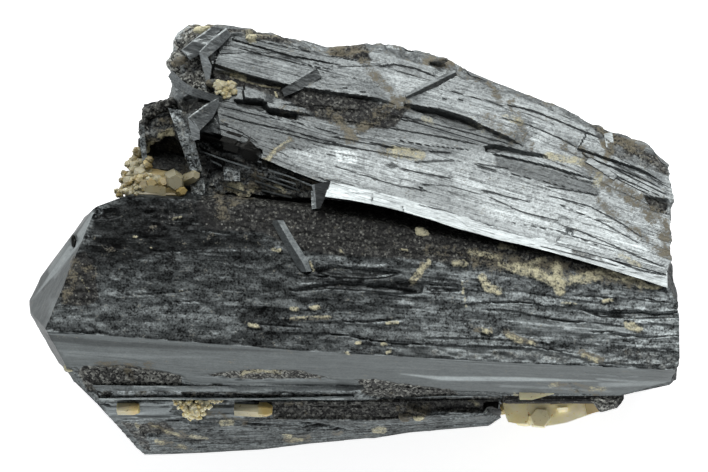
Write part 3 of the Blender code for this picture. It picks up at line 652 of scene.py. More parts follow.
def quartz_finish(settings):
    """Half-clear quartz, stained cream and amber in its cracks."""
    material, shader, wire, place = finish("quartz")
    cloud, speck = place.grains(2.4, 4.0), place.grains(0.35, 3.0)
    stain = (wire.mask("rust") + (cloud - 0.5) * 0.9).between(0.2, 0.8)
    dirt = (wire.mask("druse") + (cloud - 0.5) * 0.6).between(0.3, 0.7)
    body = stain.mix(rgb(settings.quartz_colour), rgb(settings.amber_colour))
    body = dirt.mix(body, rgb((0.10, 0.07, 0.045)))
    body = speck.between(0.62, 0.72).mix(body, rgb(settings.amber_colour, 0.6))
    plug(wire.tree, shader, {
        "Base Color": (1.0 + wire.mask("shade")).times(body),
        "Roughness": 0.32 + speck * 0.3,
        "Transmission Weight": 0.25,
        "IOR": 1.55,
        "Subsurface Weight": 0.25,
        "Subsurface Radius": (0.8, 0.6, 0.3),
        "Subsurface Scale": MILLIMETRE,
        "Normal": wire.bump(speck * 0.05, 0.6),
    })
    return material


# -------- the crystals

def crystal(shape, edges, span, planes, spacing, rows, caps, relief):
    """Adds a prism whose surface is raised along its outward directions by what `relief` works out.

    It has `rows` rows along it between the two x of its span, columns `spacing` apart on each side, and two
    numbers of rings on its ends.
    """
    grid, side, place = prism(edges, *span, planes, spacing, rows, caps)
    outwards = normals(grid)
    lateral = np.ones(grid.shape[:2])
    lateral[:caps[0]] = 0
    lateral[-caps[1]:] = 0
    place = np.broadcast_to(place, lateral.shape)
    made = Relief(grid[..., 0], grid[..., 1], ease(outwards[..., 2], *FACING), place, lateral)
    made.z = grid[..., 2]
    made.side = {name: np.broadcast_to(side == k, lateral.shape) for k, name in enumerate(edges)}
    relief(made)
    shape.add(grid + outwards * made.height[..., None], made.masks)


def splinters(made, where, rise, tilt, seed):
    """Staggered blocks at three sizes, with tilted tops, on a part of a prism."""
    for length, width, up, lean, levels in (
        (22.0, 2.4, 0.12, 0.10, 4), (11.0, 0.8, 0.06, 0.05, 4), (6.0, 0.35, 0.03, 0.02, 3)
    ):
        wander = made.across + 0.12 * width * noise(made.x / 9, made.across / 2, seed + 5)
        level, lean_by, across = blocks(made.x, wander, length, width, seed + int(length), levels)
        made.add(where * (rise * up * level + tilt * lean * lean_by * across))


def broken(made, rise, seed):
    """The rough, splintered surface of the ends: lumps in layers, and steps of a third."""
    y, z = made.y, made.z
    lumpy = layers(y / 3.0, z / 3.0, seed)
    steps = np.round(layers(y / 1.6, z / 4.0, seed + 20, 2) * 3) / 3
    return rise * (0.5 * lumpy + 0.45 * steps)


def rail(line, heights, rows):
    """A broken line of (x, y) as evenly spaced points, whose heights run straight between the given ones."""
    line = np.array(line, float)
    sizes = np.linalg.norm(np.diff(line, axis=0), axis=1)
    place = np.concatenate([[0], np.cumsum(sizes)]) / sizes.sum()
    share = np.linspace(0, 1, rows)
    z = np.interp(share, np.linspace(0, 1, len(heights)), heights)
    return np.stack([np.interp(share, place, line[:, 0]), np.interp(share, place, line[:, 1]), z], -1)


def face_height(edges, low, high, x, y):
    """The height of the flat face between two long edges at plan places x and y."""
    low, high = longer(edges[low]), longer(edges[high])
    y0, z0 = (np.interp(x, low[:, 0], low[:, axis]) for axis in (1, 2))
    y1, z1 = (np.interp(x, high[:, 0], high[:, axis]) for axis in (1, 2))
    return z0 + (z1 - z0) * (y - y0) / (y1 - y0)


def slat(shape, rails, depth, shades, rows=60, spacing=0.14, relief=None, face=None, smooth=0.8, rust=0.0):
    """Adds a long piece: its top passes through rails side by side, and its sides go down and in by a depth.

    The rails' heights are above the face, where one is given.
    """
    tops = [rail(line, heights, rows) for line, heights in rails]
    if face:
        for top in tops:
            top[:, 2] += face_height(*face, top[:, 0], top[:, 1])
    columns, tones = [], []
    for first, second, tone in zip(tops, tops[1:], shades):
        count = max(3, int(np.linalg.norm(second - first, axis=1).max() / spacing))
        share = np.arange(count)[None, :, None] / count
        columns.append(first[:, None] * (1 - share) + second[:, None] * share)
        tones.append(np.full((rows, count), tone))
    top = np.concatenate([*columns, tops[-1][:, None]], 1)
    tone = np.concatenate([*tones, tones[-1][:, :1]], 1)
    whole = np.ones(tone.shape)
    made = Relief(top[..., 0], top[..., 1], whole, top[..., 1], whole)
    made.mask("shade")[:] = tone
    made.mask("smooth")[:] = smooth
    made.mask("rust")[:] = rust
    made.roughen(1, rise=0.03, length=0.9, width=0.4, seed=700, count=3)
    if relief:
        relief(made)
    top = top + np.stack([np.zeros(tone.shape)] * 2 + [made.height], -1)
    middle = (tops[0] + tops[-1])[:, None] / 2
    under = middle + (top[:, ::-1] - middle) * (0.8, 0.8, 0.5) - (0, 0, depth)
    full = {key: np.concatenate([values, values[:, ::-1] * 0], 1) for key, values in made.masks.items()}
    shape.add(np.concatenate([top, under], 1), full)


def slats(shape, pieces, **settings):
    """Adds a table of long pieces, all of one sort."""
    for rails, depth, shades in pieces:
        slat(shape, rails, depth, shades, **settings)


def six_sided(shape, middle, radius, length, direction, bluntness, turn, masks):
    """Adds a quartz crystal: a six-sided prism with a six-sided tip, and a flat foot."""
    axis = np.array(direction, float)
    axis /= np.linalg.norm(axis)
    side = np.cross(axis, (0.31, 0.87, 0.39))
    side /= np.linalg.norm(side)
    up = np.cross(axis, side)
    angles = np.arange(6) * math.pi / 3 + turn
    draw = np.random.default_rng(int(abs(middle[0] * 977 + middle[1] * 331)))
    uneven = draw.uniform(0.8, 1.15, 6)
    ring = (np.cos(angles) * uneven)[:, None] * side + (np.sin(angles) * uneven)[:, None] * up
    tip = radius * (1.3 - bluntness)
    rows = [(-length / 2, 0.55), (-length / 2, 1.0), (length / 2 - tip, 1.0), (length / 2, bluntness)]
    grid = np.array([np.array(middle) + axis * along + ring * radius * wide for along, wide in rows])
    share = np.array([0, 0, 0.8, 1])[:, None] * np.ones(6)
    shape.add(grid, {key: foot + (end - foot) * share for key, (foot, end) in masks.items()})


def lump(shape, middle, radii, seed, masks, rough=0.4, count=(12, 16)):
    """Adds a rounded, knobbly lump: a ball drawn out to three radii and moved in and out by noise."""
    pole = 0.12  # the angle that is left open at each pole
    rows, columns = count
    turns = np.arange(columns) / columns * 2 * math.pi
    up, round_it = np.meshgrid(np.linspace(pole, math.pi - pole, rows), turns, indexing="ij")
    ball = np.stack([np.sin(up) * np.cos(round_it), np.sin(up) * np.sin(round_it), np.cos(up)], -1)
    swell = 1 + rough * noise(ball[..., 0] * 1.7 + 9 + ball[..., 2], ball[..., 1] * 1.7 + 9, seed)
    grid = np.array(middle) + ball * swell[..., None] * radii
    shape.add(grid, {key: np.full(grid.shape[:2], value) for key, value in masks.items()})


def lumps(shape, name, seed, strength=1.0, rough=0.4):
    """Adds the lumps of one crystal, each of its own finish."""
    for spot, radii, kind in LUMPS[name]:
        lump(shape, spot, radii, seed, {kind: strength}, rough)


# Outlines that several tables use: recesses in the main crystal's front, and plain places on the lower one.
RECESS_LEFT = [(-33.3, -16), (-32.3, -15.3), (-26.8, -15.3), (-20.6, -16.5), (-20.6, -18.2), (-31.9, -18.4)]
RECESS_MIDDLE = [(-17.8, -16.4), (-12.4, -15.7), (-6.4, -15.9), (-2.2, -16.8), (-6.4, -16.9), (-13.6, -17)]
RECESS_SLIT = [(-20.2, -17.7), (-16.6, -17.5), (-11, -18), (-14.8, -18.2), (-20.1, -18.2)]
RECESS_RIGHT = [
    (0.5, -17), (2.2, -16.9), (5.6, -17.5), (11.6, -18.2), (12.8, -18.9), (3.2, -19.4), (1, -18.9),
]
LOWER_PLAIN_LEFT = [(-30.5, -19.7), (-21.9, -19.8), (-21.5, -21.8), (-29.3, -21.8)]
LOWER_PLAIN_RIGHT = [(-17.9, -20.2), (-13.1, -19.9), (-13.1, -21.8), (-17.9, -21.6)]

# Plan outlines on each crystal, in millimetres. The methods of Relief say what the numbers after them mean.
UPPER_PLATES = [
    ([(-16.8, 20.7), (-13.6, 19.6), (-10, 18.6), (-6.4, 17.9), (-1, 17.1), (4.7, 16.4)],
     [(-15.8, 23.9), (-11.2, 22.4), (-6.4, 21.4), (-1, 20.4), (3.2, 19.7)], 0.75, 0.05),
    ([(-14.6, 23.9), (-7.6, 21.9), (-1, 20.7)], [(-14.1, 24.6), (-7.6, 23.3), (-1.6, 22.4)], 0.3, 0),
    ([(-13.2, 16.5), (-9.4, 16)], [(-13.2, 18.3), (-9.2, 17.8)], 0.6, 0.45),
    ([(-10.6, 15.5), (-6.8, 14.9), (-4, 14.6)], [(-10.5, 16.1), (-6.8, 15.6), (-3.9, 15.2)], 0.7, 0.6),
    ([(6.1, 15.9), (9.2, 15.4), (12.8, 14.4), (15.2, 13.4), (18.8, 11.8), (20.9, 10.8)],
     [(6.2, 16.8), (10.4, 18.4), (15.2, 17.6), (20, 15.2), (23, 13)], 0.75, 0.05),
    ([(16.6, 10.1), (23.6, 8.5), (29.2, 6.9)], [(17.6, 10.4), (24.2, 9.3), (29.3, 8)], 0.45, 0.3),
    ([(26.9, 10.7), (30.7, 9.4), (34.3, 8.2), (37.7, 6.4)],
     [(28.3, 13.2), (31.9, 12), (35.5, 9.8), (37.7, 8.8)], 0.55, 0.1),
    ([(28.1, 9.7), (31.9, 8.2), (35.5, 6.7), (37.7, 5.6)],
     [(27.4, 10.4), (31, 9.1), (34.6, 7.7), (37.7, 6.1)], 0.3, 0.2),
]
UPPER_LEDGES = [
    ([(2.9, 20.6), (5, 20.9), (7.4, 20.4), (9.9, 19.4)], 0.35, 1.6),
    ([(17.9, 16.1), (21.2, 15.4), (24.8, 14), (30.1, 11.7)], 0.4, 2.2),
    ([(17.3, 14.4), (21.2, 13.5), (24.8, 12), (26.9, 10.8)], 0.35, 1.2),
    ([(31, 8.5), (34.3, 6.8), (37.7, 5.1)], 0.3, 0.9), ([(15.2, 5.8), (18.2, 5), (21.2, 4.3)], 0.22, 1.2),
    ([(23, 6.2), (26.6, 5.6), (29.5, 5.1)], 0.25, 1.4),
    ([(23, 5.2), (28.3, 3.8), (32.2, 1.7), (34.9, -0.2)], 0.25, 1.2),
    ([(-16.6, 15.9), (-11, 14.6), (-6.4, 13.7), (-1, 12.3)], 0.22, 0.8),
    ([(-16.5, 15), (-13.6, 14.1), (-6.4, 12.5), (-1, 11), (8, 9.4)], 0.3, 1.3),
    ([(-10, 13), (-4, 11.4), (0.8, 10.6)], 0.22, 0.7),
    ([(-2.8, 12.2), (1.4, 11.3), (6.8, 10.6), (12.2, 10.2)], 0.3, 1),
    ([(5.6, 8.3), (8.6, 7.7), (11.8, 7.1)], 0.25, 1.2),
    ([(-2.8, 14.4), (3.2, 13.4), (9.2, 12.4), (15.2, 11.2)], 0.25, 0.9),
    ([(2.2, 15.2), (8, 14.1), (14, 12.6), (19.4, 11.1)], 0.2, 0.7), ([(14, 9.1), (18.8, 8.3)], 0.15, 0.8),
    ([(-2.8, 8.8), (0.8, 7.6), (5.6, 6.2), (9.2, 5.6)], 0.18, 0.9),
    ([(8, 6.5), (11.6, 6.2), (15.8, 5.1)], 0.15, 0.8), ([(15.8, 5.1), (20, 3.2), (24.8, 2)], 0.18, 0.9),
    ([(26, 1.3), (29.5, -0.2), (34.3, -2.3), (37.2, -3.5)], 0.22, 1),
    ([(-8.8, 16.1), (-4, 15.6), (-1, 15.2)], 0.25, 0.7),
]
UPPER_HOLLOWS = [
    ([(-18.4, 12.6), (-16.9, 12.6), (-15, 12), (-13, 11.3), (-11, 10.5), (-11.4, 9.4), (-13.6, 9.2),
      (-16, 9.9), (-18.4, 10.6)], 2.2),
    ([(-19.6, 20.9), (-18.8, 21.2), (-18.4, 18.8), (-19.3, 18.8)], 0.2),
    ([(-17.3, 21.2), (-16.9, 20.7), (-16.7, 18.8), (-15.3, 18.3), (-17, 16.9), (-17.7, 17.8)], 0.7),
    ([(-20.6, 16.9), (-18.1, 17.1), (-16.7, 16.9), (-20.1, 14.9), (-20.8, 15.7)], 0.7),
    ([(7, 15.6), (10.4, 15.2), (14, 14.1), (15.3, 13.2), (14, 13.1), (11.6, 13.8), (8.6, 15)], 0.65),
    ([(15.8, 11), (17.1, 11.2), (20, 10.5), (23.2, 9.8), (20, 10), (17.6, 10.4), (16, 10.5)], 0.6),
    ([(-14.3, 16.6), (-11, 16.4), (-10.4, 15.6), (-11, 15.4), (-13.6, 15.9)], 0.8),
    ([(-10.4, 15.3), (-6.8, 14.8), (-6.9, 14.3), (-10, 14.9)], 0.8),
    ([(34.9, 5.1), (37.7, 4.6), (37.6, 3.4), (35.5, 4)], 0.5),
    ([(-16.5, 20.2), (-13.6, 19.5), (-9.4, 18.5), (-6.7, 17.7), (-8.8, 17.6), (-13, 18.3), (-15, 18.8),
      (-17, 19.2)], 0.45),
    ([(25.5, 1.1), (26.3, 1.1), (26.2, 0.4), (25.6, 0.5)], 0.3),
]
UPPER_CRACKS = [
    ([(2, 11.4), (5, 10.7)], 0.14, 0.2), ([(7.9, 6.1), (8.3, 5.8)], 0.16, 0.3),
    ([(10.7, 16.6), (11.2, 16.6)], 0.16, 0.3), ([(12.5, 16.6), (13, 16.5)], 0.16, 0.3),
    ([(0.8, 17.4), (1.3, 17.3)], 0.14, 0.3), ([(-1.4, 17.9), (-0.9, 17.8)], 0.14, 0.3),
    ([(-15.4, 23.3), (-11.2, 22.1), (-6.4, 20.9), (-2.2, 20.2)], 0.12, 0.15),
    ([(-6.4, 20.9), (-1, 19.5), (3.8, 18)], 0.1, 0.12),
    ([(-13.6, 24.3), (-8.8, 23.1), (-2.8, 21.9), (1.4, 21.2)], 0.12, 0.18),
    ([(10.4, 18), (15.2, 16.7), (18.2, 15.8)], 0.1, 0.15),
    ([(20, 17.2), (24.8, 15.2), (29.5, 12.8)], 0.1, 0.12),
    ([(5, 11.8), (9.2, 11.1), (14, 10.6)], 0.1, 0.15),
    ([(-6.4, 16.1), (-1, 15.5), (1.4, 15.2)], 0.14, 0.25), ([(-1, 17.1), (2, 16.6), (5, 16.1)], 0.2, 0.35),
    ([(27.8, 9.1), (31.9, 7.3), (36.7, 5.1)], 0.1, 0.15),
    ([(24.8, 7.6), (27.2, 7), (29.2, 6.5)], 0.1, 0.12), ([(24.8, 4), (29.5, 2), (34.3, -0.7)], 0.1, 0.12),
    ([(12.2, 9.4), (17.6, 8), (22.4, 6.9), (27.2, 5.6)], 0.09, 0.1),
    ([(29.5, 8.2), (34.3, 5.8), (37.7, 4)], 0.1, 0.15),
    ([(-11.8, 11.8), (-6.4, 10.6), (-1, 9.7)], 0.08, 0.08),
    ([(18.2, 2), (24.8, 0.8), (29.5, -0.9)], 0.08, 0.1),
]
UPPER_DRUSE = [
    ([(-22.3, 21.2), (-20.8, 24.3), (-19.6, 25.7), (-16.7, 25.7), (-16.9, 21.4), (-17, 16.9), (-20.6, 17.6),
      (-22.3, 19)], 0.7, 0.3),
    ([(-21.3, 16.8), (-17.2, 17.1), (-16.6, 15.6), (-18.4, 12.8), (-20.8, 11.8)], 0.6, 0.3),
    ([(-17, 20.4), (-13.6, 19.4), (-8.8, 18.3), (-1, 17.1), (5, 15.9), (6.8, 15.9), (5, 13.2), (0.8, 13.2),
      (-4, 14.2), (-7.6, 16.2), (-13.2, 18), (-16.7, 18.5)], 0.75, 0.3),
    ([(-2.8, 23), (1.4, 23.2), (2.2, 21.4), (-1, 21.6), (-2.6, 22.1)], 0.8, 0.3),
    ([(-19.6, 25.2), (-15.4, 25), (-12.4, 24.3), (-8.8, 23.6), (-6.4, 23.3), (-8.2, 24.2), (-13, 25)], 0.7,
     0.2),
    ([(28.3, 13.7), (31.6, 12.6), (35.5, 10.4), (37.7, 9.2), (37.7, 7.5), (34.3, 8.5), (30.7, 9.7),
      (29.3, 11.8)], 0.55, 0.3),
    ([(34.9, 5.1), (37.7, 4.4), (37.7, 2.7), (35.5, 3.4)], 0.7, 0.2),
]
UPPER_RUST = [
    ([(-11.4, 8.8), (-10.2, 9.4), (-9.3, 10.6), (-7.5, 11.8)], 0.45, 0.8),
    ([(-19.6, 25), (-17.7, 25.4)], 0.8, 0.8), ([(-21.3, 21.2), (-20.1, 20.7)], 0.7, 0.7),
    ([(28.1, 9.2), (30.1, 7), (32.5, 5.5), (34.9, 3.9), (36.7, 2), (37.7, -0.2), (37.8, -1.6)], 1, 0.95),
    ([(29.5, 4.4), (32.2, 2), (34.9, -0.2), (37.7, -2.1)], 0.6, 0.8),
    ([(1, 21.6), (2.9, 19.2), (5.1, 16.8)], 0.6, 0.8), ([(5.6, 16.6), (3.8, 15.4), (0.8, 13.2)], 0.8, 0.95),
    ([(-2.6, 14.9), (-1.4, 13.7), (-0.2, 11.9)], 0.9, 0.9), ([(6.5, 16.1), (3.8, 15.6)], 0.6, 0.9),
    ([(15.6, 14.2), (17.6, 13), (19.4, 11.8)], 0.9, 0.6),
    ([(19, 16.4), (20, 13.6), (21.2, 10.6)], 0.6, 0.7),
    ([(25.4, 11.1), (27.2, 10.4), (28.6, 8.8)], 0.8, 0.75), ([(16.4, 18.6), (17.6, 16.6)], 0.5, 0.8),
    ([(30, 12.8), (30.7, 9.7)], 0.8, 0.8), ([(31.3, 11.8), (34.3, 10.6)], 0.8, 0.7),
    ([(-2.2, 22.6), (1, 22.1)], 0.8, 0.7), ([(9.2, 21.4), (11.6, 21.2)], 0.7, 0.9),
    ([(3.2, 10.6), (8, 9.9)], 0.9, 0.5), ([(-8.5, 15.2), (-4, 14.4)], 0.7, 0.5),
]
UPPER_CREAM = [
    ([(-11.4, 8.8), (-10.2, 9.5), (-9.4, 10.6)], 0.28, 0.75), ([(-9.4, 10.7), (-7.6, 11.8)], 0.18, 0.7),
    ([(-14.6, 19.6), (-13, 19.2)], 0.3, 0.7), ([(-13.2, 19.1), (-11, 18.5), (-8.8, 18.2)], 0.14, 0.8),
    ([(-9.4, 17.6), (-9.2, 17)], 0.15, 1), ([(4.6, 10.4), (8, 9.9)], 0.7, 0.75),
    ([(23.3, 9.8), (27.2, 9.2)], 0.6, 0.75), ([(29.1, 6.5), (29.5, 7.5)], 0.6, 0.6),
    ([(8.6, 14.4), (9.2, 14)], 0.6, 0.5), ([(18.2, 14.4), (20, 14)], 0.6, 0.55),
    ([(-12.6, 24.6), (-12.2, 23.8)], 0.6, 0.7), ([(-11.8, 24.3), (-9.4, 24.3)], 0.3, 0.5),
    ([(31.9, -2), (34.3, -3.3)], 0.4, 0.55), ([(14, 14), (15.4, 13)], 0.5, 0.45),
]
UPPER_SHADE = [
    ([(-22.5, 21.2), (-20.8, 24.5), (-19.6, 26), (-16.7, 26), (-16.9, 21.4), (-17, 16.9), (-20.6, 17.6),
      (-22.5, 19)], 2.2, 0.2),
    ([(-9.3, 21.9), (-8.5, 22.4), (-7.5, 21.8), (-8.2, 21.3)], -0.5, 0.1),
    ([(3.5, 8.8), (4.6, 9.3), (5.7, 8.6), (4.6, 8.1)], -0.5, 0.1),
    ([(2.9, 11.2), (8, 11.1), (13, 10.5), (12.2, 9.9), (8, 10.2), (3.2, 10.5)], -0.35, 0.2),
    # A painted highlight on the upper crystal's front.
    ([(-2.2, 10.6), (0.5, 10.4), (0.4, 8.9), (-1.9, 9.1)], 1.6, 0.15),
    ([(15.2, 5.6), (22.4, 4), (24.8, 2), (23, 0.3), (15.2, 2.9)], 0.5, 0.4),
    # Painted shade on a facet that is darker for its tilt.
    ([(17, 9.8), (23.6, 8.2), (29.1, 6.7), (29.3, 5.2), (24.8, 5.9), (20, 7.6), (17.1, 8.7)], -0.55, 0.12),
    ([(-16.7, 21.2), (-15.8, 23.6), (-11, 22.1), (-6.4, 21.2), (-4, 20.4), (-6.4, 18), (-10, 18.8),
      (-13.6, 19.7)], 0.1, 0.2),
    ([(-19.6, 16.6), (-16.6, 17), (-11, 14.4), (-1, 12), (9.2, 10.6), (0.8, 11.8), (-6.4, 10.6), (-11, 9.9),
      (-13.6, 11.1), (-18.4, 12.6)], -0.3, 0.4),
    ([(-0.4, 15.2), (6.8, 15.6), (15.2, 13), (21.2, 10.8), (15.2, 10.6), (8, 11.8), (0.8, 12.5)], -0.35,
     0.3),
    ([(-10, 10.4), (-1.6, 10.8), (5.6, 9.4), (10.4, 8.2), (5.6, 5.8), (-4, 7.3)], 0.5, 0.5),
    ([(10.4, 8.8), (24.8, 5.8), (34.3, 0.4), (36.7, -2.8), (24.8, -0.2), (14, 4.6)], 0.35, 0.6),
    ([(3.8, 20.2), (9.2, 19.2), (5.6, 17.2)], 0.35, 0.2),
    ([(6.2, 16.1), (10.4, 17.8), (17.6, 16), (24.8, 13), (22.4, 11.2), (15.2, 14), (10.4, 15.6)], 0.25, 0.4),
]

MAIN_LEDGES = [
    ([(-30.3, -7), (-26.7, -7.1), (-23.1, -6.6), (-18.9, -6.2), (-14.8, -6.4)], 0.22, 0.8),
    ([(-36.9, -11.1), (-33.3, -11.3), (-29.7, -11.4), (-25.5, -11.1)], 0.4, 1.4),
    ([(-22.5, -7.7), (-19.5, -7.5), (-16.5, -7.6), (-13.6, -7.3)], 0.22, 0.8),
    ([(-30.9, -2.8), (-26.7, -3), (-22.5, -2.9), (-18.3, -2.8), (-15.4, -3)], 0.2, 0.8),
    ([(-31.7, -1.6), (-25.5, -1.5), (-20.1, -1.5), (-14.8, -1.7), (-10.9, -1.6)], 0.22, 0.7),
    ([(-15.7, -3.3), (-11.2, -3.8), (-7.6, -3.5)], 0.25, 0.9),
    ([(-15.7, -8.2), (-10.9, -8.3), (-6.4, -8.5), (-4, -8.8)], 0.3, 0.9),
    ([(-10, -10), (-6.4, -10.1), (-2.2, -10), (5.6, -9.7)], 0.22, 0.8),
    ([(-12.4, -11.3), (-6.4, -11.3), (-2.2, -11.4), (2, -12.1), (9.1, -12.7), (17.5, -13), (22.9, -13.3)],
     0.45, 1.3),
    ([(7.9, -11.9), (13.9, -11.9), (19.3, -12.2), (24.7, -12.7)], 0.35, 0.8),
    ([(12.1, -8.1), (15.1, -7.7), (19.9, -7.6), (23.2, -8.1), (27.1, -8.3)], 0.4, 1.2),
    ([(9.1, -5.9), (13, -6), (15.1, -6.4)], 0.25, 0.8),
    ([(15.1, -8.4), (19.3, -8.7), (22.9, -9.5), (27.5, -10)], 0.3, 0.8),
    ([(27.4, -8.7), (30.6, -9.1), (34.2, -9.5), (38.8, -9.5)], 0.5, 1.3),
    ([(28.3, -10), (32.8, -10.6), (36, -10.2), (38.8, -10.5)], 0.3, 0.8),
    ([(28.9, -11.1), (34.2, -11.6), (38.8, -11.8)], 0.3, 0.9),
    ([(29.5, -7.1), (34.2, -7.3), (37.8, -7.8)], 0.25, 1),
    ([(24.7, -13.8), (29.5, -14.8), (35.4, -15.2)], 0.25, 0.8),
    ([(-7.6, -6.3), (-3.4, -5.8), (0.8, -6.3), (6.8, -7.1), (9.1, -7.1)], 0.3, 0.9),
    ([(-29.1, 2.2), (-24.3, 2.5), (-19.5, 2)], 0.18, 0.8),
    ([(-30.9, -0.2), (-26.7, 0.1), (-22.5, 0.3), (-15.4, 0.3)], 0.22, 0.9),
    ([(-35.1, -9.1), (-30.3, -9.3), (-24.3, -9.7), (-19.5, -10)], 0.18, 0.8),
    ([(18.7, -3.5), (22.9, -5), (24.7, -6.4)], 0.18, 0.9),
    ([(-2.8, 1.6), (3.2, -0.2), (10.3, -1.4), (17.5, -2.8)], 0.2, 1),
    ([(10.3, -1), (17.5, -2.6), (22.3, -3.3), (29.5, -4)], 0.22, 0.9),
]
MAIN_HOLLOWS = [
    ([(-34.1, -0.7), (-33.5, 0.5), (-33.2, 0.3), (-33.4, -0.9), (-33.9, -1.4)], 0.6),
    ([(-2.2, -3.2), (-0.4, -3.5), (2.2, -3.6), (5.6, -4.1), (3.8, -4.6), (1.4, -4.8), (-2.8, -4.5),
      (-4.5, -3.9)], 0.4),
    ([(-7.3, -6.3), (-3.3, -5.4), (-1, -5.3), (5, -5.8), (7.9, -6.4), (5.6, -6.6), (0.8, -6.2), (-3, -5.9)],
     0.32),
    ([(5.3, -5.4), (7, -5.1), (8.3, -5.4), (8.1, -6.4), (6.2, -6.4)], 0.45),
    ([(27.4, -8.5), (30.9, -8.8), (34.2, -8.7), (36, -9), (38.8, -8.8), (38.8, -9.4), (34.2, -9.5),
      (29.5, -9.3)], 0.5),
    ([(-31.2, 3.4), (-30.5, 3.5), (-30.4, 2.6), (-31.1, 2.3)], 0.45),
    ([(-29.9, 3.3), (-28.6, 3.5), (-28.1, 2.7), (-29.6, 2.3)], 0.35),
    ([(-6.4, -2.8), (-5.4, -2.8), (-5.1, -3.9), (-5.8, -4.1)], 0.35),
    ([(8.5, -5.3), (12.7, -5.6), (12.7, -6.3), (9.1, -6.3)], 0.22),
]
MAIN_CRACKS = [
    ([(25.9, -17.3), (26.7, -18.2), (28.1, -19)], 0.1, 0.5),
    ([(27.9, -16.1), (31.9, -16.5), (37.7, -16.6)], 0.08, 0.3),
    ([(-14.8, -10), (-10.9, -10.3), (-6.4, -10.6)], 0.12, 0.2),
    ([(2.6, -12.2), (5.6, -12.6), (9.1, -12.6)], 0.16, 0.35),
    ([(-2.8, -11.4), (-1, -11.5), (2.2, -12.2)], 0.18, 0.4),
    ([(20.5, -12.8), (22.9, -13.2), (26.5, -13.7)], 0.12, 0.25),
    ([(22.9, -9.5), (25.3, -9.9), (27.7, -10)], 0.16, 0.4),
    ([(15.1, -7.7), (19.9, -7.6), (22.9, -7.9)], 0.14, 0.35),
    ([(29.5, -15.2), (34.2, -15.7), (38.7, -16.1)], 0.14, 0.3),
    ([(7.9, -14.5), (17.5, -15), (29.5, -15.5)], 0.09, 0.12), ([(28.3, -11.2), (31.4, -11.1)], 0.16, 0.3),
    ([(31.8, -11.6), (35.4, -11.8), (38.8, -11.6)], 0.14, 0.3),
    ([(-29.1, -6.9), (-24.3, -6.7), (-19.5, -6.3)], 0.12, 0.2),
    ([(-22.5, -7.7), (-18.3, -7.5), (-15.4, -7.7)], 0.12, 0.2),
    ([(-6.4, -4.5), (-2.8, -4.6), (-0.4, -4.8)], 0.14, 0.3),
    ([(-36.9, -11.2), (-33.3, -11.3), (-29.7, -11.3)], 0.25, 0.3),
    ([(-26.7, -1.6), (-19.5, -1.6), (-15.4, -1.9)], 0.08, 0.12),
    ([(-2.2, -9.9), (2, -10), (5.6, -9.6)], 0.12, 0.25), ([(9.1, -6), (13.3, -6.2)], 0.14, 0.25),
    ([(26.5, -6.9), (32.4, -7.2)], 0.12, 0.2), ([(34.2, -7.1), (37.6, -7.7)], 0.12, 0.25),
    ([(-18.4, -16.5), (-16.3, -16.6)], 0.1, 0.15), ([(26.6, -17.6), (27.7, -18.8)], 0.1, 0.2),
]
MAIN_DRUSE = [
    ([(-18.8, 3.9), (-18.3, 5.1), (-2.8, 7), (19.9, 0.1), (37.1, -5.6), (34.2, -5.4), (29.5, -4.4),
      (24.7, -3.8), (18.7, -3.3), (13.9, -3.3), (10.3, -2.8), (5.6, -2.3), (3.2, -2.4), (-2.8, -2),
      (-6.4, -1.5), (-10.9, 0.7), (-15.7, 0.9), (-17.7, 1.1)], 0.85, 0.5),
    ([(-35.1, -7.9), (-34.4, -4.4), (-33.6, -2.1), (-32.1, -1.4), (-31.1, -2.8), (-30.3, -7.3),
      (-31.7, -8.1)], 0.8, 0.3),
    ([(29.5, -12.7), (38.8, -13.3), (38.8, -16), (30.6, -15.2)], 0.45, 0.5),
    ([(9.1, -13.1), (29.5, -13.3), (28.3, -15), (9.1, -14.3)], 0.42, 0.4),
    ([(-25.5, 4.2), (-18.3, 5.1), (-17.6, 1), (-24.3, 1.3)], 0.4, 0.5),
    (RECESS_LEFT, 0.95, 0.3),
    (RECESS_MIDDLE, 0.95, 0.25),
    (RECESS_SLIT, 0.9, 0.2),
    (RECESS_RIGHT, 0.95, 0.3),
    ([(-31.1, -18.4), (-24.4, -18.3), (-6.4, -18.7), (-1.6, -18.6), (-2.8, -19), (-20.8, -19.3),
      (-30.5, -19.4)], 0.85, 0.2),
]
MAIN_RUST = [
    ([(-34.4, -7.3), (-33.9, -5), (-32.9, -2.8), (-31.5, -3.8)], 0.9, 0.55),
    ([(-8.2, -9.6), (-5.2, -9.5), (-2.8, -9.4)], 0.3, 0.6),
    ([(18, -11.1), (19.7, -12.1), (21.7, -12.5)], 0.45, 0.9), ([(13.9, -10.7), (16.3, -11.2)], 0.45, 0.7),
    ([(-28.9, -1.3), (-26.7, -0.9)], 0.3, 0.5), ([(-24.7, 1), (-23.7, 1.5)], 0.3, 0.6),
    ([(-16, 5.8), (-15.7, 2.9)], 0.9, 0.75), ([(-14.8, 4.2), (-12.4, 5.3)], 0.6, 0.7),
    ([(15.1, -2.8), (24.7, -3.5), (34.2, -5.2)], 1.1, 0.75), ([(7, -5.2), (8.4, -3.3)], 0.5, 0.85),
    ([(9.1, -1.4), (17.5, -2.1)], 0.8, 0.6), ([(-27.1, -16), (-26.4, -16.8)], 0.45, 0.9),
    ([(-30.5, -15.1), (-24.4, -15.3)], 0.5, 0.7), ([(24.2, -17.6), (29.6, -18.2)], 0.7, 0.55),
    ([(27.1, -13.6), (29.5, -14.6)], 0.5, 0.7),
]
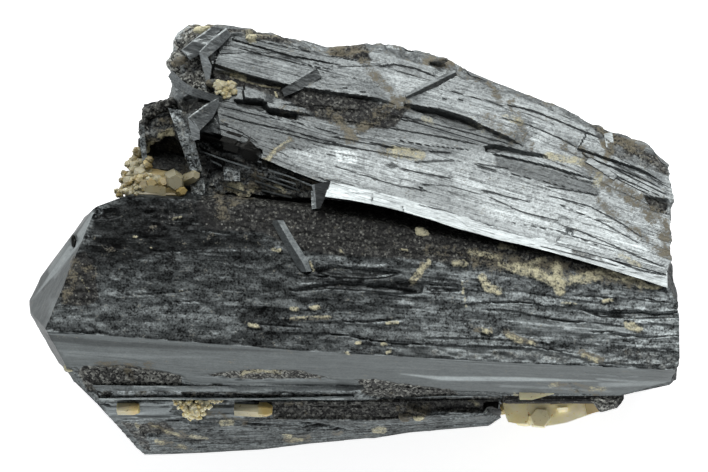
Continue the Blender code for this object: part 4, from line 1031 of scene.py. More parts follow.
MAIN_CREAM = [
    ([(19.4, -3.5), (21.7, -4), (22.9, -4.7), (24.7, -5.4)], 0.75, 0.95),
    ([(21.3, -2.8), (22.9, -2.4)], 0.4, 0.7), ([(24.2, -3.3), (24.7, -6.2)], 0.7, 0.95),
    ([(26.1, -5), (27.7, -4.7), (29.5, -4.2)], 0.7, 0.9),
    ([(29.5, -4), (31.8, -4.6), (34.2, -5.2)], 0.6, 0.8), ([(34.2, -5.7), (36.6, -5.8)], 0.35, 0.8),
    ([(13.9, -1.6), (17.5, -2.3)], 0.4, 0.75), ([(17.5, -0.9), (19.3, -1.1)], 0.4, 0.65),
    ([(15.4, -4.7), (16.1, -5.9), (17.3, -6.3)], 0.55, 0.95), ([(12.1, -3), (13.3, -3)], 0.5, 0.7),
    ([(17.5, -3), (18.7, -3.5)], 0.4, 0.7), ([(32.8, -10.3), (34, -10.8)], 0.55, 0.9),
    ([(15.4, -10.9), (16.3, -11.3)], 0.35, 0.85), ([(18.5, -11.6), (19.9, -12.2)], 0.35, 0.85),
    ([(21.1, -12.4), (21.7, -12.7)], 0.25, 0.85), ([(27.3, -14), (29, -14.6)], 0.35, 0.75),
    ([(7.1, -5), (7.9, -4), (8.9, -2.8)], 0.45, 0.85), ([(29.8, -7.5), (30.9, -7.3)], 0.25, 0.85),
    ([(24.7, -7.7), (26.5, -7.8)], 0.18, 0.8), ([(13, -5.2), (13.2, -6.9), (13.4, -8.1)], 0.12, 1),
    ([(-7.3, -8.4), (-6.8, -8.4)], 0.3, 0.95), ([(-5, -8.3), (-4.2, -8.2)], 0.3, 0.95),
    ([(-7.6, -9.5), (-5, -9.4), (-2.8, -9.3)], 0.16, 0.8), ([(4, -10.1), (5.2, -10)], 0.22, 0.9),
    ([(0.4, -12.5), (0.8, -12.4)], 0.22, 1), ([(3.4, -12.6), (3.8, -12.6)], 0.22, 1),
    ([(4, -13.6), (4.4, -13.3)], 0.25, 0.9), ([(-0.8, -13.6), (-0.5, -13.7)], 0.2, 1),
    ([(-12.4, -10.3), (-11.4, -10.5)], 0.3, 0.75), ([(-26.3, 0.2), (-26, 0.2)], 0.16, 0.9),
    ([(-24.3, -1.1), (-24.2, -1.1)], 0.1, 1), ([(-20.9, -6.3), (-20.5, -6.2)], 0.12, 0.7),
    ([(-32.7, -4.4), (-32.2, -5.4), (-31.5, -6.5)], 0.1, 0.6), ([(-21.7, 2.3), (-20.7, 2.6)], 0.2, 0.6),
    ([(-1.6, -1.4), (-1.4, -1.7)], 0.25, 0.8), ([(-9.7, -1.3), (-8.8, -1.4)], 0.25, 0.75),
    ([(5.6, -1.3), (6.5, -1.4)], 0.15, 0.9), ([(-5.2, -2.8), (-4.8, -3.8)], 0.16, 1),
    ([(-13.6, -16.3), (-11, -15.9), (-8.8, -16.2)], 0.3, 0.75), ([(19.4, -18.6), (19.8, -18.9)], 0.3, 0.8),
    ([(23.6, -17.7), (24.3, -17.5)], 0.35, 0.65), ([(28.4, -18), (30.2, -18)], 0.35, 0.6),
]
MAIN_SHADE = [
    ([(-31, 3.2), (-25.5, 4.8), (-18.3, 4.2), (-15.7, 0.8), (-10.9, 0.3), (-10.9, -1.4), (-21.9, -1.4),
      (-26.7, -2.8), (-31.7, -3)], -0.62, 0.3),
    ([(-39, -7.6), (-37, -5.6), (-34.9, -3.5), (-32.8, -0.9), (-31.7, 0.1), (-31.9, -1.6), (-34.2, -4.5),
      (-35.2, -7.4), (-35.2, -12.2), (-39.3, -11)], 0.15, 0.12),
    (RECESS_LEFT, 1, 0.2),
    (RECESS_MIDDLE, 0.9, 0.15),
    (RECESS_RIGHT, 0.8, 0.2),
    ([(-38.8, -7.4), (-35.2, -2.3), (-31.3, 3.2), (-30.9, 2.9), (-31.8, 0.5), (-34.9, -3.3), (-37, -5.5)],
     1.6, 0.1),
    ([(-37.8, -6.2), (-35.2, -2.3), (-32.3, 1.7), (-32.1, 1.3), (-34.9, -2.8), (-37.3, -6.4)], -0.25, 0.08),
    ([(-30.9, 3.1), (-30.5, 3.9), (-29.3, 4), (-29.9, 3.4), (-30.5, 2.7)], 2.5, 0.1),
    ([(-36.9, -3.8), (-34.2, -0.2), (-34, -0.5), (-36.6, -4.3)], 1, 0.08),
    ([(-36.1, -4.5), (-33.3, -0.7), (-33, -0.9), (-35.9, -4.9)], 0.9, 0.08),
    ([(-6, -2), (-2.8, -2.2), (2.2, -2.6), (3.6, -2.8), (1.4, -3.4), (-1.6, -3.3), (-5.4, -2.8)], 0.9, 0.12),
    ([(-5, -3.5), (5.6, -4.2), (7.9, -6.4), (-6.4, -5.9)], -0.5, 0.4),
    ([(-15.4, -8.5), (-10.9, -8.5), (-10.9, -10.5), (-15, -10.3)], -0.4, 0.3),
    ([(-28.7, -5), (-25.9, -5), (-25.9, -6.6), (-28.7, -6.6)], 0.45, 0.4),
    ([(-21, -4.5), (-16.5, -4.5), (-16.5, -6.2), (-20.7, -6.2)], 0.3, 0.4),
    ([(-15, -5), (-10.9, -5), (-10.9, -7.1), (-15, -7.1)], 0.55, 0.5),
    ([(-36.3, -7.3), (-24.3, -7.1), (-13.6, -7.6), (-13.6, -11.5), (-36.5, -11.1)], 0.95, 0.8),
    ([(5.6, -7.3), (10.9, -7.3), (10.9, -10.7), (5.6, -10.5)], 0.55, 0.5),
    ([(18.9, -9.5), (29.5, -10), (29.2, -11.9), (19.3, -11.6)], 0.55, 0.6),
    ([(34.2, -9.9), (37.6, -10.1), (37.6, -11.5), (34.5, -11.4)], 0.5, 0.4),
    ([(9.1, -12.8), (29.5, -13.6), (29.5, -15), (9.1, -14.3)], 0.95, 0.4),
    ([(-30.9, -4.5), (-25.3, -4.4), (-25, -7), (-30.5, -7.2)], 0.9, 1),
    ([(8.5, -2.8), (24.7, -6.2), (38.8, -7.3), (38.8, -12.7), (7.9, -12.7)], 0.25, 0.8),
    ([(-3.4, -2.8), (7.9, -6.4), (7.9, -10.9), (-6.4, -10.9)], -0.1, 0.8),
    ([(5.6, -16.2), (10.4, -16.5), (20, -16.6), (29.5, -17.1), (20, -17.1), (10.4, -17)], 1.5, 0.12),
    ([(29.5, -17.3), (35.5, -17.3), (38.7, -17), (35.5, -17.7), (29.5, -17.8)], 0.8, 0.15),
    ([(-37.5, -11.3), (-30.4, -12.2), (-16, -13), (-6.4, -13.6), (-16, -13.4), (-30.4, -12.9),
      (-36.6, -12.2)], -0.4, 0.15),
    ([(-35.2, -13.4), (-26.8, -13.8), (-16, -14.2), (-24.4, -14.4), (-34.7, -14.1)], 0.3, 0.15),
    # Painted light: the two ribs below the band lie in its shade and face away from the lamp, and are made
    # lighter.
    ([(-30.5, -18), (0.8, -17.7), (0.8, -18.4), (-30.5, -18.4)], 0.8, 0.2),
    ([(-30.5, -19.2), (-1, -18.9), (-1, -19.5), (-30.5, -19.6)], 0.8, 0.2),
]
MAIN_SMOOTH = [
    ([(5.6, -12.7), (29.5, -13.4), (29.5, -15), (5.6, -14.2)], 0.65, 0.4),
    ([(18.9, -9.5), (28.3, -9.7), (34.2, -10.9), (29.5, -12.1), (19.3, -11.6)], 0.6, 0.8),
]
MAIN_RECESSES = [
    ([(-33.3, -16), (-32.3, -15.3), (-26.8, -15.3), (-20.6, -16.5), (-20.6, -18), (-31.9, -18.2)], 0.16),
    ([(-17.8, -16.4), (-12.4, -15.7), (-6.4, -15.9), (-2, -17), (-6.4, -17), (-13.6, -17.1)], 0.16),
    (RECESS_SLIT, 0.12),
    (RECESS_RIGHT, 0.2),
]

MAIN_LIGHT = [
    ([(29.1, -16.8), (34.3, -17.2), (37.2, -17.3)], 0.12, 0.7),
    ([(17.6, -17.7), (24.8, -18), (30.7, -18.4)], 0.14, 0.5), ([(-31.7, 0.3), (-30.3, 0.3)], 0.06, 1.6),
    ([(-24.3, 2), (-21.3, 2.1), (-18.3, 1.7)], 0.06, 1), ([(-18.8, 1), (-14.5, 0.3)], 0.06, 1.4),
    ([(-22.5, -1.6), (-18.3, -1.5), (-13.8, -1.5)], 0.07, 1.6),
    ([(-18.3, -2.8), (-15.7, -2.9), (-13.6, -3.3)], 0.07, 1.4), ([(-24.3, -3.2), (-22.6, -3.2)], 0.06, 2.2),
    ([(-26.7, -2.6), (-24.3, -2.6)], 0.06, 1.2), ([(-24.3, -10), (-21.7, -10), (-19.3, -10.2)], 0.06, 2),
    ([(-20.7, -7.6), (-17.6, -7.3)], 0.07, 1.4), ([(-15.7, -6.3), (-13.3, -6.4)], 0.07, 1.5),
    ([(-6.4, -5.4), (-3.3, -5.3)], 0.08, 1.6), ([(-2.1, -4), (-0.2, -3.9)], 0.06, 1.5),
    ([(2.7, -3.3), (4.6, -2.9)], 0.06, 1.6), ([(-1.3, -2.8), (0.8, -3)], 0.05, 1.2),
    ([(2.6, -4.5), (5.1, -4.2)], 0.06, 1.6), ([(-10.6, -9.5), (-5.8, -9.5), (-2.8, -9.4)], 0.07, 1.2),
    ([(2.7, -10.1), (5.6, -9.9)], 0.08, 1.6), ([(17.5, -11.6), (23.2, -11.9), (26.5, -12.2)], 0.06, 1.2),
    ([(22.9, -7.7), (26.1, -7.8)], 0.1, 1.2), ([(7.9, -7.6), (10.1, -7.2)], 0.06, 1),
    ([(-6.4, -8.7), (0.8, -8.9), (7.9, -8.7)], 0.06, 0.9),
    ([(28.3, -12.1), (34.2, -12.5), (38.5, -12.6)], 0.06, 0.9),
    ([(-35.1, -6.4), (-30.3, -6.5), (-25.5, -6.4), (-18.3, -6.3)], 0.06, 0.9),
    ([(-16, -4.7), (-14.5, -4.6)], 0.06, 1.6), ([(-27.9, -3.5), (-25.3, -3.5)], 0.06, 1.4),
    ([(-30.9, -3.3), (-28.9, -3.4)], 0.06, 1), ([(13, -4.5), (13.1, -6.4), (13.4, -8.1)], 0.07, 1.8),
]
LOWER_HOLLOWS = [
    ([(15.7, -20.2), (16.7, -19.9), (17.8, -20.1), (17.8, -21.6), (16.4, -21.4), (15.8, -20.9)], 0.9),
    ([(-25.8, -22.7), (-23.3, -22.6), (-23.2, -23.8), (-24.5, -24.2), (-25.6, -23.8)], 0.4),
    ([(-9.5, -19.8), (-7.7, -19.9), (-2.8, -20.2), (5.6, -19.9), (5.6, -21.8), (-6.4, -21.8), (-9.3, -21.6)],
     0.3),
    ([(6.2, -19.2), (8.6, -19), (17.7, -19.1), (17.7, -21), (14, -20.8), (10.4, -20.7), (9, -21.2),
      (6.8, -20.4)], 0.6),
    ([(-21.1, -22), (-13, -21.9), (-9.8, -21.9), (-4, -22.4), (-1, -23.2), (-6.4, -22.6), (-13, -22.5),
      (-19.7, -22.4)], 0.3),
    ([(-20.9, -24.4), (-17.9, -24.3), (-17.3, -24.8), (-20.3, -25)], 0.2),
    ([(-17.9, -19.9), (-13.7, -19.5), (-11, -19.6), (-13.1, -19.9), (-14.6, -20.3), (-16.8, -20.3)], 0.25),
]
LOWER_CRACKS = [
    ([(-23.3, -22), (-18.5, -22), (-13.1, -22)], 0.16, 0.2),
    ([(-13.1, -22.5), (-8.3, -22.7), (-1, -22.9)], 0.12, 0.2),
    ([(-19.7, -23.1), (-15.5, -23.3)], 0.1, 0.15), ([(-11.9, -23), (-6.5, -23.2), (-1, -23.1)], 0.12, 0.2),
    ([(-20.9, -24.7), (-17.9, -24.6)], 0.14, 0.2), ([(-14.7, -24.7), (-13.9, -24.7)], 0.12, 0.2),
    ([(-6.5, -22.4), (-3.8, -22.7), (-1, -23.2)], 0.16, 0.25),
    ([(-0.4, -21.9), (8, -21.5), (15.3, -21.2)], 0.12, 0.2),
    ([(-17.9, -23.8), (-12.5, -23.7), (-6.5, -23.5)], 0.08, 0.1),
    ([(0.8, -23.2), (8, -22.6), (14.1, -22)], 0.1, 0.15), ([(-22.1, -20.9), (-21.4, -20.1)], 0.14, 0.2),
    ([(-30.6, -19.8), (-29.1, -20.1)], 0.12, 0.2),
]
LOWER_LEDGES = [
    ([(-23.3, -23.2), (-14.9, -23), (-4, -22.7), (5.6, -22.2)], 0.2, 0.7),
    ([(-22.1, -24.2), (-13.7, -23.9), (-6.4, -23.6), (-1, -23.2)], 0.15, 0.8),
    ([(-4.6, -22.4), (0.8, -22), (5.6, -21.9), (14, -21.5)], 0.25, 0.7),
    ([(-7.7, -20.2), (-1.6, -20.7), (5.6, -20.5)], 0.2, 0.5),
    ([(9.2, -20.9), (14, -21), (17.7, -21.5)], 0.22, 0.8),
]
LOWER_DRUSE = [
    ([(-9.8, -19.6), (8.6, -19.2), (17.7, -19), (17.7, -21), (10.4, -20.9), (5.6, -21.9), (-9.8, -21.9)],
     0.85, 0.3),
    ([(-26.5, -22.4), (-22.6, -22.1), (-21.4, -23.3), (-23.6, -24), (-25.5, -24)], 0.8, 0.25),
    ([(-28.4, -21.9), (-25.7, -22.4), (-24.8, -24.3), (-24.5, -26), (-25.7, -25.5), (-27.2, -23.3)], 0.6,
     0.2),
    ([(-20.9, -21.8), (-12.5, -21.8), (-6.4, -22.4), (-13.7, -22.6), (-19.7, -22.5)], 0.45, 0.3),
    ([(-22.1, -24.3), (-16.7, -24.2), (-17.9, -25), (-20.9, -25.1)], 0.5, 0.3),
]
LOWER_RUST = [
    ([(-24.5, -22.6), (-22.7, -23.3), (-20.3, -24)], 0.5, 0.8),
    ([(-17.9, -20.9), (-14.3, -21.8), (-13, -22.4)], 0.4, 0.8),
    ([(-8.3, -19.9), (-6.4, -19.9), (-5.8, -21.2)], 0.3, 0.7),
    ([(5.6, -20.4), (9.2, -20.7), (8.6, -21.6)], 0.6, 0.75), ([(-23.9, -24.8), (-20.3, -25.2)], 0.4, 0.6),
    ([(-8, -24.3), (-5.5, -24.3)], 0.5, 0.8), ([(-2.4, -23.6), (-1.4, -23.6)], 0.3, 0.7),
]
LOWER_CREAM = [
    ([(-24.3, -22.8), (-23.6, -23.1)], 0.3, 0.75), ([(-22.7, -23.3), (-21.1, -23.8)], 0.25, 0.75),
    ([(-23.9, -24.6), (-23.1, -24.9)], 0.3, 0.8), ([(-19.7, -24), (-17.9, -24.3)], 0.4, 0.7),
    ([(-21.1, -25.2), (-20.5, -25.4)], 0.3, 0.7), ([(-8.4, -23.9), (-7.7, -24)], 0.3, 0.9),
    ([(-7.4, -24.5), (-6.4, -24.4)], 0.35, 0.7), ([(-16, -22.4), (-14.6, -22.4)], 0.3, 0.8),
    ([(2.7, -23.2), (3.6, -23.2)], 0.5, 0.85), ([(14, -19.5), (15, -20.4)], 0.35, 0.7),
    ([(-26.2, -22.5), (-26, -22.8)], 0.3, 0.8), ([(9.9, -23.4), (11.1, -23.6)], 0.2, 0.6),
]
LOWER_SHADE = [
    ([(-28.4, -21.6), (-25.1, -21.9), (-23.3, -25.7), (-24.8, -26.1), (-26.3, -24.9)], 0.5, 0.2),
    (LOWER_PLAIN_LEFT, 1, 0.3),
    (LOWER_PLAIN_RIGHT, 0.9, 0.3),
    ([(-4, -22.5), (9.2, -21.2), (17.7, -21.2), (17.7, -21.9), (5.6, -23.3), (-4, -24.3)], 0.3, 0.4),
]
SMALL_LOWER_SHADE = [
    ([(20.7, -18.5), (28.7, -18.5), (28.7, -20.3), (20.7, -20.1)], -0.75, 0.3),
    ([(28.7, -19.2), (32.1, -19.3), (31.3, -20.5), (28.7, -20.9)], 2.2, 0.3),
]
SLAB_CRACKS = [
    ([(29.4, -2), (34.2, -3.8), (37.3, -4.4)], 0.14, 0.2), ([(2.3, 5.4), (2.2, 3.8)], 0.1, 0.12),
    ([(5.8, 4), (6.1, 3)], 0.1, 0.12), ([(7.9, 4), (13.9, 2.6), (19.9, 0.8)], 0.1, 0.12),
    ([(22.3, -0.9), (27, -2.1), (32.4, -3.5)], 0.1, 0.12),
]
SLAB_DRUSE = [([(24.9, 0.1), (29.4, -1.4), (30.1, -3), (26.4, -2.1)], 0.5, 0.3)]

# Long pieces on the upper crystal: rails of (line, heights), the depth, and how light each strip is.
SLAB = [
    ([(-2.8, 6.9), (-0.4, 6.3), (2, 5.8), (5, 5), (9.1, 3.9), (15.1, 2.2), (22.3, 0.3), (29.4, -1.6),
      (37.5, -4)], (24.3, 24.2, 24.2, 24.2)),
    ([(-3.4, 5), (-0.4, 4.6), (3.2, 3.9), (5.6, 3.3), (9.1, 2.3), (12.7, 1.1), (15.1, 0.5), (17.5, -0.2),
      (19.9, -0.7), (23.5, -1.6), (27, -2.6), (29.4, -3.3), (34.2, -4.8), (37.5, -5.9)],
     (25.2, 25.1, 25, 25)),
]
UPPER_SLATS = [
    ([([(-5, 6.4), (-4.7, 5), (-4.6, 3.6)], (24.7, 24.2)),
      ([(-4.6, 6.5), (-4.5, 5), (-4.4, 3.6)], (24.8, 24.3)),
      ([(-2.7, 6.9), (-3.3, 5.1), (-4, 3.6)], (25, 24.4))], 0.9, [1.4, -0.35]),
    ([([(-16.9, 25.5), (-18.9, 24.1), (-20.7, 22.6), (-19.6, 21.4)], (19.9, 20.5, 20.6)),
      ([(-16.8, 25.4), (-18.8, 24), (-20.6, 22.6), (-19.5, 21.6)], (19.9, 20.6, 20.7)),
      ([(-15.8, 25.3), (-17.1, 23.6), (-18.3, 22.2), (-19.3, 21.6)], (19.5, 20.3, 20.3))], 2.4, [0.3, 0.25]),
    ([([(-15.3, 25.3), (-17.2, 23.8), (-18.5, 22.4)], (19.8, 21.2)),
      ([(-15.2, 25.1), (-17.1, 23.7), (-18.4, 22.3)], (19.9, 21.3)),
      ([(-14.7, 24.4), (-15.9, 23.1), (-17.5, 21.7)], (19.6, 21))], 2.4, [0.3, 0.15]),
    ([([(-18.5, 22.3), (-18.2, 20.8), (-17.6, 18.7)], (20.8, 20.4)),
      ([(-17.5, 21.8), (-17, 20.7), (-17.3, 18.8)], (21.1, 20.6))], 2.2, [1.6]),
    ([([(-16.1, 16.9), (-17.9, 15.9), (-19.8, 14.5)], (22.8, 23.4)),
      ([(-16.1, 16.8), (-17.9, 15.7), (-19.7, 14.4)], (22.8, 23.5)),
      ([(-16.1, 15.9), (-16.9, 14.4), (-18.4, 12.9)], (22.4, 23.2))], 2.4, [0.3, 0.1]),
    ([([(-19.8, 14.5), (-19.6, 13.2), (-19.2, 11.7)], (23.2, 22.8)),
      ([(-19, 14), (-18.4, 12.9), (-18.4, 11.9)], (23.5, 23))], 2.2, [1.2]),
    ([([(-22.3, 19.5), (-21.4, 18.1), (-19.6, 17.2), (-17.6, 16.6), (-15.7, 16.1)], (18.8, 20.9, 21.8)),
      ([(-21.8, 20.2), (-20.6, 19), (-19.3, 18.1), (-17.5, 17.5), (-15.8, 17)], (18.9, 21.2, 22))], 2,
     [0.1]),
]
# The same, with heights above the crystal's broad face.
UPPER_NEEDLES = [
    ([([(-8.6, 17.9), (-6.4, 19.2), (-4.4, 20.4)], (1.2, 1.1)),
      ([(-8.3, 17), (-6.2, 17.9), (-3.8, 19.4)], (0.8, 0.75))], 1.4, [-0.4]),
    # The next needle's lower strip is darker: a painted shadow.
    ([([(6.2, 17.3), (9.2, 19), (12.2, 20.3)], (0.05, 0.05)),
      ([(6.3, 17), (9.3, 18.5), (12.3, 20)], (0.4, 0.35)),
      ([(6.4, 16.5), (9.5, 17.9), (12.5, 19.6)], (0, 0))], 1, [0.6, -0.5]),
    ([([(30.1, 12.6), (30.5, 9.8)], (0.2, 0.4)), ([(31.1, 12.8), (31.5, 9.9)], (0.1, 0.3))], 0.9, [0.4]),
    ([([(27.9, 9.2), (29.5, 8.2), (31.2, 7)], (0.1, 0.15)),
      ([(28.3, 9.8), (30, 8.7), (31.6, 7.5)], (0.2, 0.25))], 0.8, [0.2]),
]
LUMPS = {
    "upper": [
        ((-20.7, 21.3, 19.8), (0.75, 0.65, 0.5), "rust"), ((-18.1, 25, 18.9), (0.9, 0.6, 0.5), "cream"),
        ((-12.2, 24, 18.5), (0.6, 0.6, 0.4), "cream"), ((10.4, 21.3, 17.4), (1, 0.5, 0.6), "rust"),
        ((-16.9, 18.6, 20.6), (0.7, 0.6, 0.5), "rust"),
    ],
    "middle": [
        ((-24.3, 15.3, 17), (0.9, 0.9, 0.9), "druse"), ((-23.2, 15.9, 17.2), (0.9, 0.8, 0.8), "druse"),
        ((-22.1, 16.3, 17.2), (0.8, 0.7, 0.8), "druse"), ((-25.1, 13.6, 16.8), (0.7, 1.1, 0.9), "druse"),
        ((-21.2, 16.7, 17.6), (0.7, 0.6, 0.7), "druse"), ((-25.3, 11.6, 16.4), (0.6, 0.9, 0.9), "druse"),
    ],
    "lower": [
        ((6.2, -21.5, 15.7), (0.85, 0.65, 0.5), "rust"), ((7.8, -21.6, 15.5), (0.7, 0.45, 0.4), "cream"),
    ],
    "small_lower": [((18.4, -18.9, 15.2), (0.9, 0.9, 1.6), "druse")],
    "main": [
        ((8.2, 0.8, 23.2), (0.9, 0.55, 0.4), "cream"), ((24.6, -5.9, 24.2), (0.5, 1.1, 0.35), "cream"),
        ((-24.9, 0.5, 22.9), (0.3, 0.3, 0.25), "cream"), ((-4.9, -4.6, 23.9), (0.25, 0.5, 0.25), "cream"),
        # The next knob is nearly black with painted shade, where a small pit lies in shade.
        ((-33.5, -0.4, 20.9), (0.38, 0.75, 0.35), "crevice"),
        ((-34.2, -15.6, 19.8), (0.6, 0.4, 0.4), "cream"),
    ],
}
# The first two are the ribs below the band, made lighter with painted light, as they face away from the
# lamp.
MAIN_SLATS = [
    ([([(-31.4, -17.6), (-25.6, -17.7), (-13.6, -17.7), (-4, -17.7), (1, -17.5)], (19.3, 19.5, 19.4, 19.4)),
      ([(-30.8, -18.3), (-25.6, -18.3), (-13.6, -18.4), (-4, -18.3), (1, -18.1)], (19.4, 19.6, 19.5, 19.5))],
     0.8, [2.1]),
    ([([(-30.7, -19.2), (-23.3, -19.1), (-11.2, -19.2), (-0.2, -18.9)], (18.3, 18.4, 18.4, 18.4)),
      ([(-30.5, -19.4), (-23.3, -19.4), (-11.2, -19.4), (0.1, -19.2)], (18.4, 18.5, 18.5, 18.5))], 0.8,
     [1.3]),
    ([([(-2.2, -17.4), (-1, -17.2), (1, -17)], (19.4, 19.4)),
      ([(-2.1, -18.3), (-0.7, -18.3), (1.3, -18.1)], (19.6, 19.6))], 1, [0.8]),
]
# Ground between the ribs, in the band's shade; its light colour is painted light.
RIB_GROUND = [
    ([(-30.8, -18.3), (-18.4, -18.3), (-0.4, -18.2)], (18.5, 18.6)),
    ([(-30.4, -19.3), (-18.5, -19.3), (0.1, -19.1)], (17.8, 17.9)),
]
MAIN_NEEDLES = [
    ([([(-9.9, 2.1), (-8.4, -0.5), (-6.8, -3.3), (-6.2, -4)], (0, 0.25)),
      ([(-9.1, 2.2), (-7.7, -0.3), (-6, -3), (-5.6, -4)], (0.4, 0.65)),
      ([(-8.4, 2.2), (-7, -0.2), (-5.4, -2.7), (-5, -3.9)], (0.1, 0.3))], 0.8, [0.1, 0.6]),
    ([([(-5.1, 5.7), (-5, 3.5)], (0.1, 0.2)), ([(-4.5, 5.8), (-4.5, 3.6)], (0.1, 0.2))], 0.6, [1.2]),
]
MIDDLE_SLATS = [
    ([([(-22.3, 15.7), (-21.5, 13.6), (-20.7, 11.2), (-19.6, 8.2)], (18.8, 20, 20.4)),
      ([(-20.7, 15.4), (-19.6, 13.9), (-19, 11.6), (-18.1, 8)], (19.4, 20.8, 21))], 2, [0.9]),
    ([([(-25.8, 13.7), (-25.7, 11.3), (-25.3, 8.7)], (17.4, 17.8)),
      ([(-25.2, 13.8), (-25, 11.3), (-24.7, 8.7)], (17.8, 18))], 1.6, [0.9]),
    ([([(-19.6, 7), (-19.5, 5.6), (-19.6, 3.9)], (20.2, 20.6)),
      ([(-17.9, 7.3), (-17.8, 5.6), (-18, 3.9)], (20.7, 21.1))], 1.2, [0.9]),
    ([([(-15.6, 8.6), (-14.6, 8.5), (-13.6, 8.1)], (20.9, 21.1)),
      ([(-15.5, 7), (-14.6, 6.9), (-13.6, 6.9)], (21.3, 21.5))], 0.7, [0.7]),
]
MIDDLE_LEDGES = [
    ([(-18.4, 10.6), (-16, 9.9), (-13, 8.8), (-11, 8.2)], 0.5, 0.8),
    ([(-13.9, 10.3), (-12.4, 9.8), (-11, 9.2)], 0.4, 0.6),
    ([(-12.7, 8), (-9.4, 7), (-6.4, 5.8)], 0.45, 0.8), ([(-11, 8.5), (-7.6, 7.5), (-4.6, 6.3)], 0.45, 0.8),
    ([(-12.4, 6.3), (-7.6, 5.3), (-4.6, 4.6)], 0.4, 0.7),
    ([(-17.8, 6.3), (-14.8, 5.6), (-11.2, 4.7)], 0.4, 0.9),
    ([(-17.8, 5.1), (-13.6, 4.3), (-10, 3.8)], 0.35, 0.8),
    ([(-15.1, 9.4), (-12.4, 8.5), (-8.8, 7.6)], 0.3, 0.5),
]
MIDDLE_HOLLOWS = [
    ([(-24.7, 9.7), (-25.1, 10.4), (-23.3, 11.6), (-21.8, 12), (-20.7, 11.5), (-20.3, 10), (-20.1, 8),
      (-21.8, 7.3), (-23.3, 7.3), (-24.5, 8.5)], 2.8),
    ([(-18.4, 9.7), (-17, 9.8), (-15.5, 9.2), (-15.8, 8), (-17.5, 7.6), (-18.4, 8.1)], 0.9),
    ([(-18.9, 10.9), (-17, 10.6), (-15.1, 9.9), (-13.6, 9.3), (-12.2, 8.7), (-13.9, 8.9), (-16.6, 9.7),
      (-18.4, 10)], 0.5),
    ([(-20.5, 6.3), (-19.6, 6.4), (-19.6, 4.7), (-20.2, 4.7)], 0.8),
    ([(-12.4, 6.2), (-11, 6.1), (-9.8, 5.3), (-10.3, 4.7), (-12.2, 5)], 0.5),
]
MIDDLE_RUST = [
    ([(-23.2, 15.6), (-22.6, 14.8), (-21.9, 14.1)], 0.6, 0.6),
    ([(-23, 13.5), (-22.4, 12.8), (-21.7, 12.1)], 0.8, 0.75),
    ([(-24.9, 11.4), (-24.2, 11.5), (-23.4, 11.7)], 0.7, 0.65),
    ([(-17.8, 4.6), (-14.2, 5.8), (-11, 7), (-7.6, 6.3)], 1.5, 0.55),
    ([(-6.4, 6.5), (-4.7, 6.3), (-4.3, 4.1)], 0.8, 0.8), ([(-20.3, 8), (-19.4, 7.5)], 0.9, 0.8),
]
MIDDLE_CREAM = [
    ([(-23.1, 12.3), (-21.9, 12.8)], 0.5, 0.75), ([(-24.8, 11), (-24.1, 11.4)], 0.5, 0.65),
    ([(-14.7, 6.2), (-13.7, 6.1)], 0.6, 1), ([(-12.7, 5.5), (-11.7, 6.1)], 0.3, 0.7),
    ([(-9.3, 6.2), (-8.3, 5.8)], 0.4, 0.65),
]
# Thin splinters on the same crystal, each a line on its broad face.
MIDDLE_SPLINTERS = [
    [(-18.4, 10.5), (-15.4, 9.4), (-11, 8)], [(-13.6, 10), (-11, 9.1)],
    [(-12.6, 7.9), (-9.4, 6.8), (-6.4, 5.7)], [(-11, 8.5), (-7.6, 7.4), (-4.7, 6.2)],
    [(-11.8, 6.9), (-8.6, 5.8)], [(-11, 5.8), (-7.4, 4.9)], [(-15.4, 6.3), (-12.8, 5.5)],
    [(-17.7, 7.4), (-17.3, 8.5)], [(-14.6, 9.2), (-12.2, 8.3)], [(-10, 7.5), (-6.9, 6.5)],
    [(-17.2, 9.4), (-15.8, 8.7)],
]
MIDDLE_SHADE = [
    ([(-19.4, 11.8), (-17.2, 11.6), (-17, 10.6), (-19, 10.6)], 1, 0.2),
    ([(-12.4, 6.5), (-8.6, 6.1), (-8.6, 4.5), (-12.4, 4.9)], -0.5, 0.3),
    ([(-17.8, 6.8), (-12.4, 6.5), (-12.4, 4), (-17.8, 4)], 0.5, 0.4),
    ([(-13, 8.5), (-11, 8.5), (-5.2, 6.3), (-6.4, 5.8), (-11, 7)], 0.8, 0.2),
]

# Quartz: the middle, radius and length, the direction and bluntness of the tip, and then how amber and how
# light it is at the foot and at the tip.
QUARTZ_LEFT = [
    ((-21.5, 7, 20.4), 1.25, 3.4, (0.1, -0.15, 1), 0.75, (0, 0.1), (-0.45, -0.45)),
    ((-23.4, 5.4, 21), 0.75, 4.6, (1, -0.02, 0.01), 0.8, (0.5, 0.9), (-0.45, -0.5)),
    ((-19.6, 7.3, 20.2), 0.85, 3, (0.5, 0.2, 0.8), 0.6, (0.3, 0.4), (-0.4, -0.4)),
    ((-20.7, 5.75, 21.2), 0.66, 2, (0.3, -0.1, 1), 0.65, (1, 1), (-0.2, -0.2)),
    ((-24.1, 6.6, 20.4), 0.9, 2.4, (-0.1, 0.1, 1), 0.6, (0.5, 0.7), (-0.1, -0.2)),
    ((-22.9, 6.5, 20.6), 0.85, 2.2, (0.2, 0.3, 1), 0.55, (0.5, 0.6), (-0.1, -0.2)),
    ((-25.3, 6.9, 19.6), 0.85, 2.4, (-0.5, 0.1, 0.9), 0.5, (0.3, 0.4), (0, 0)),
]
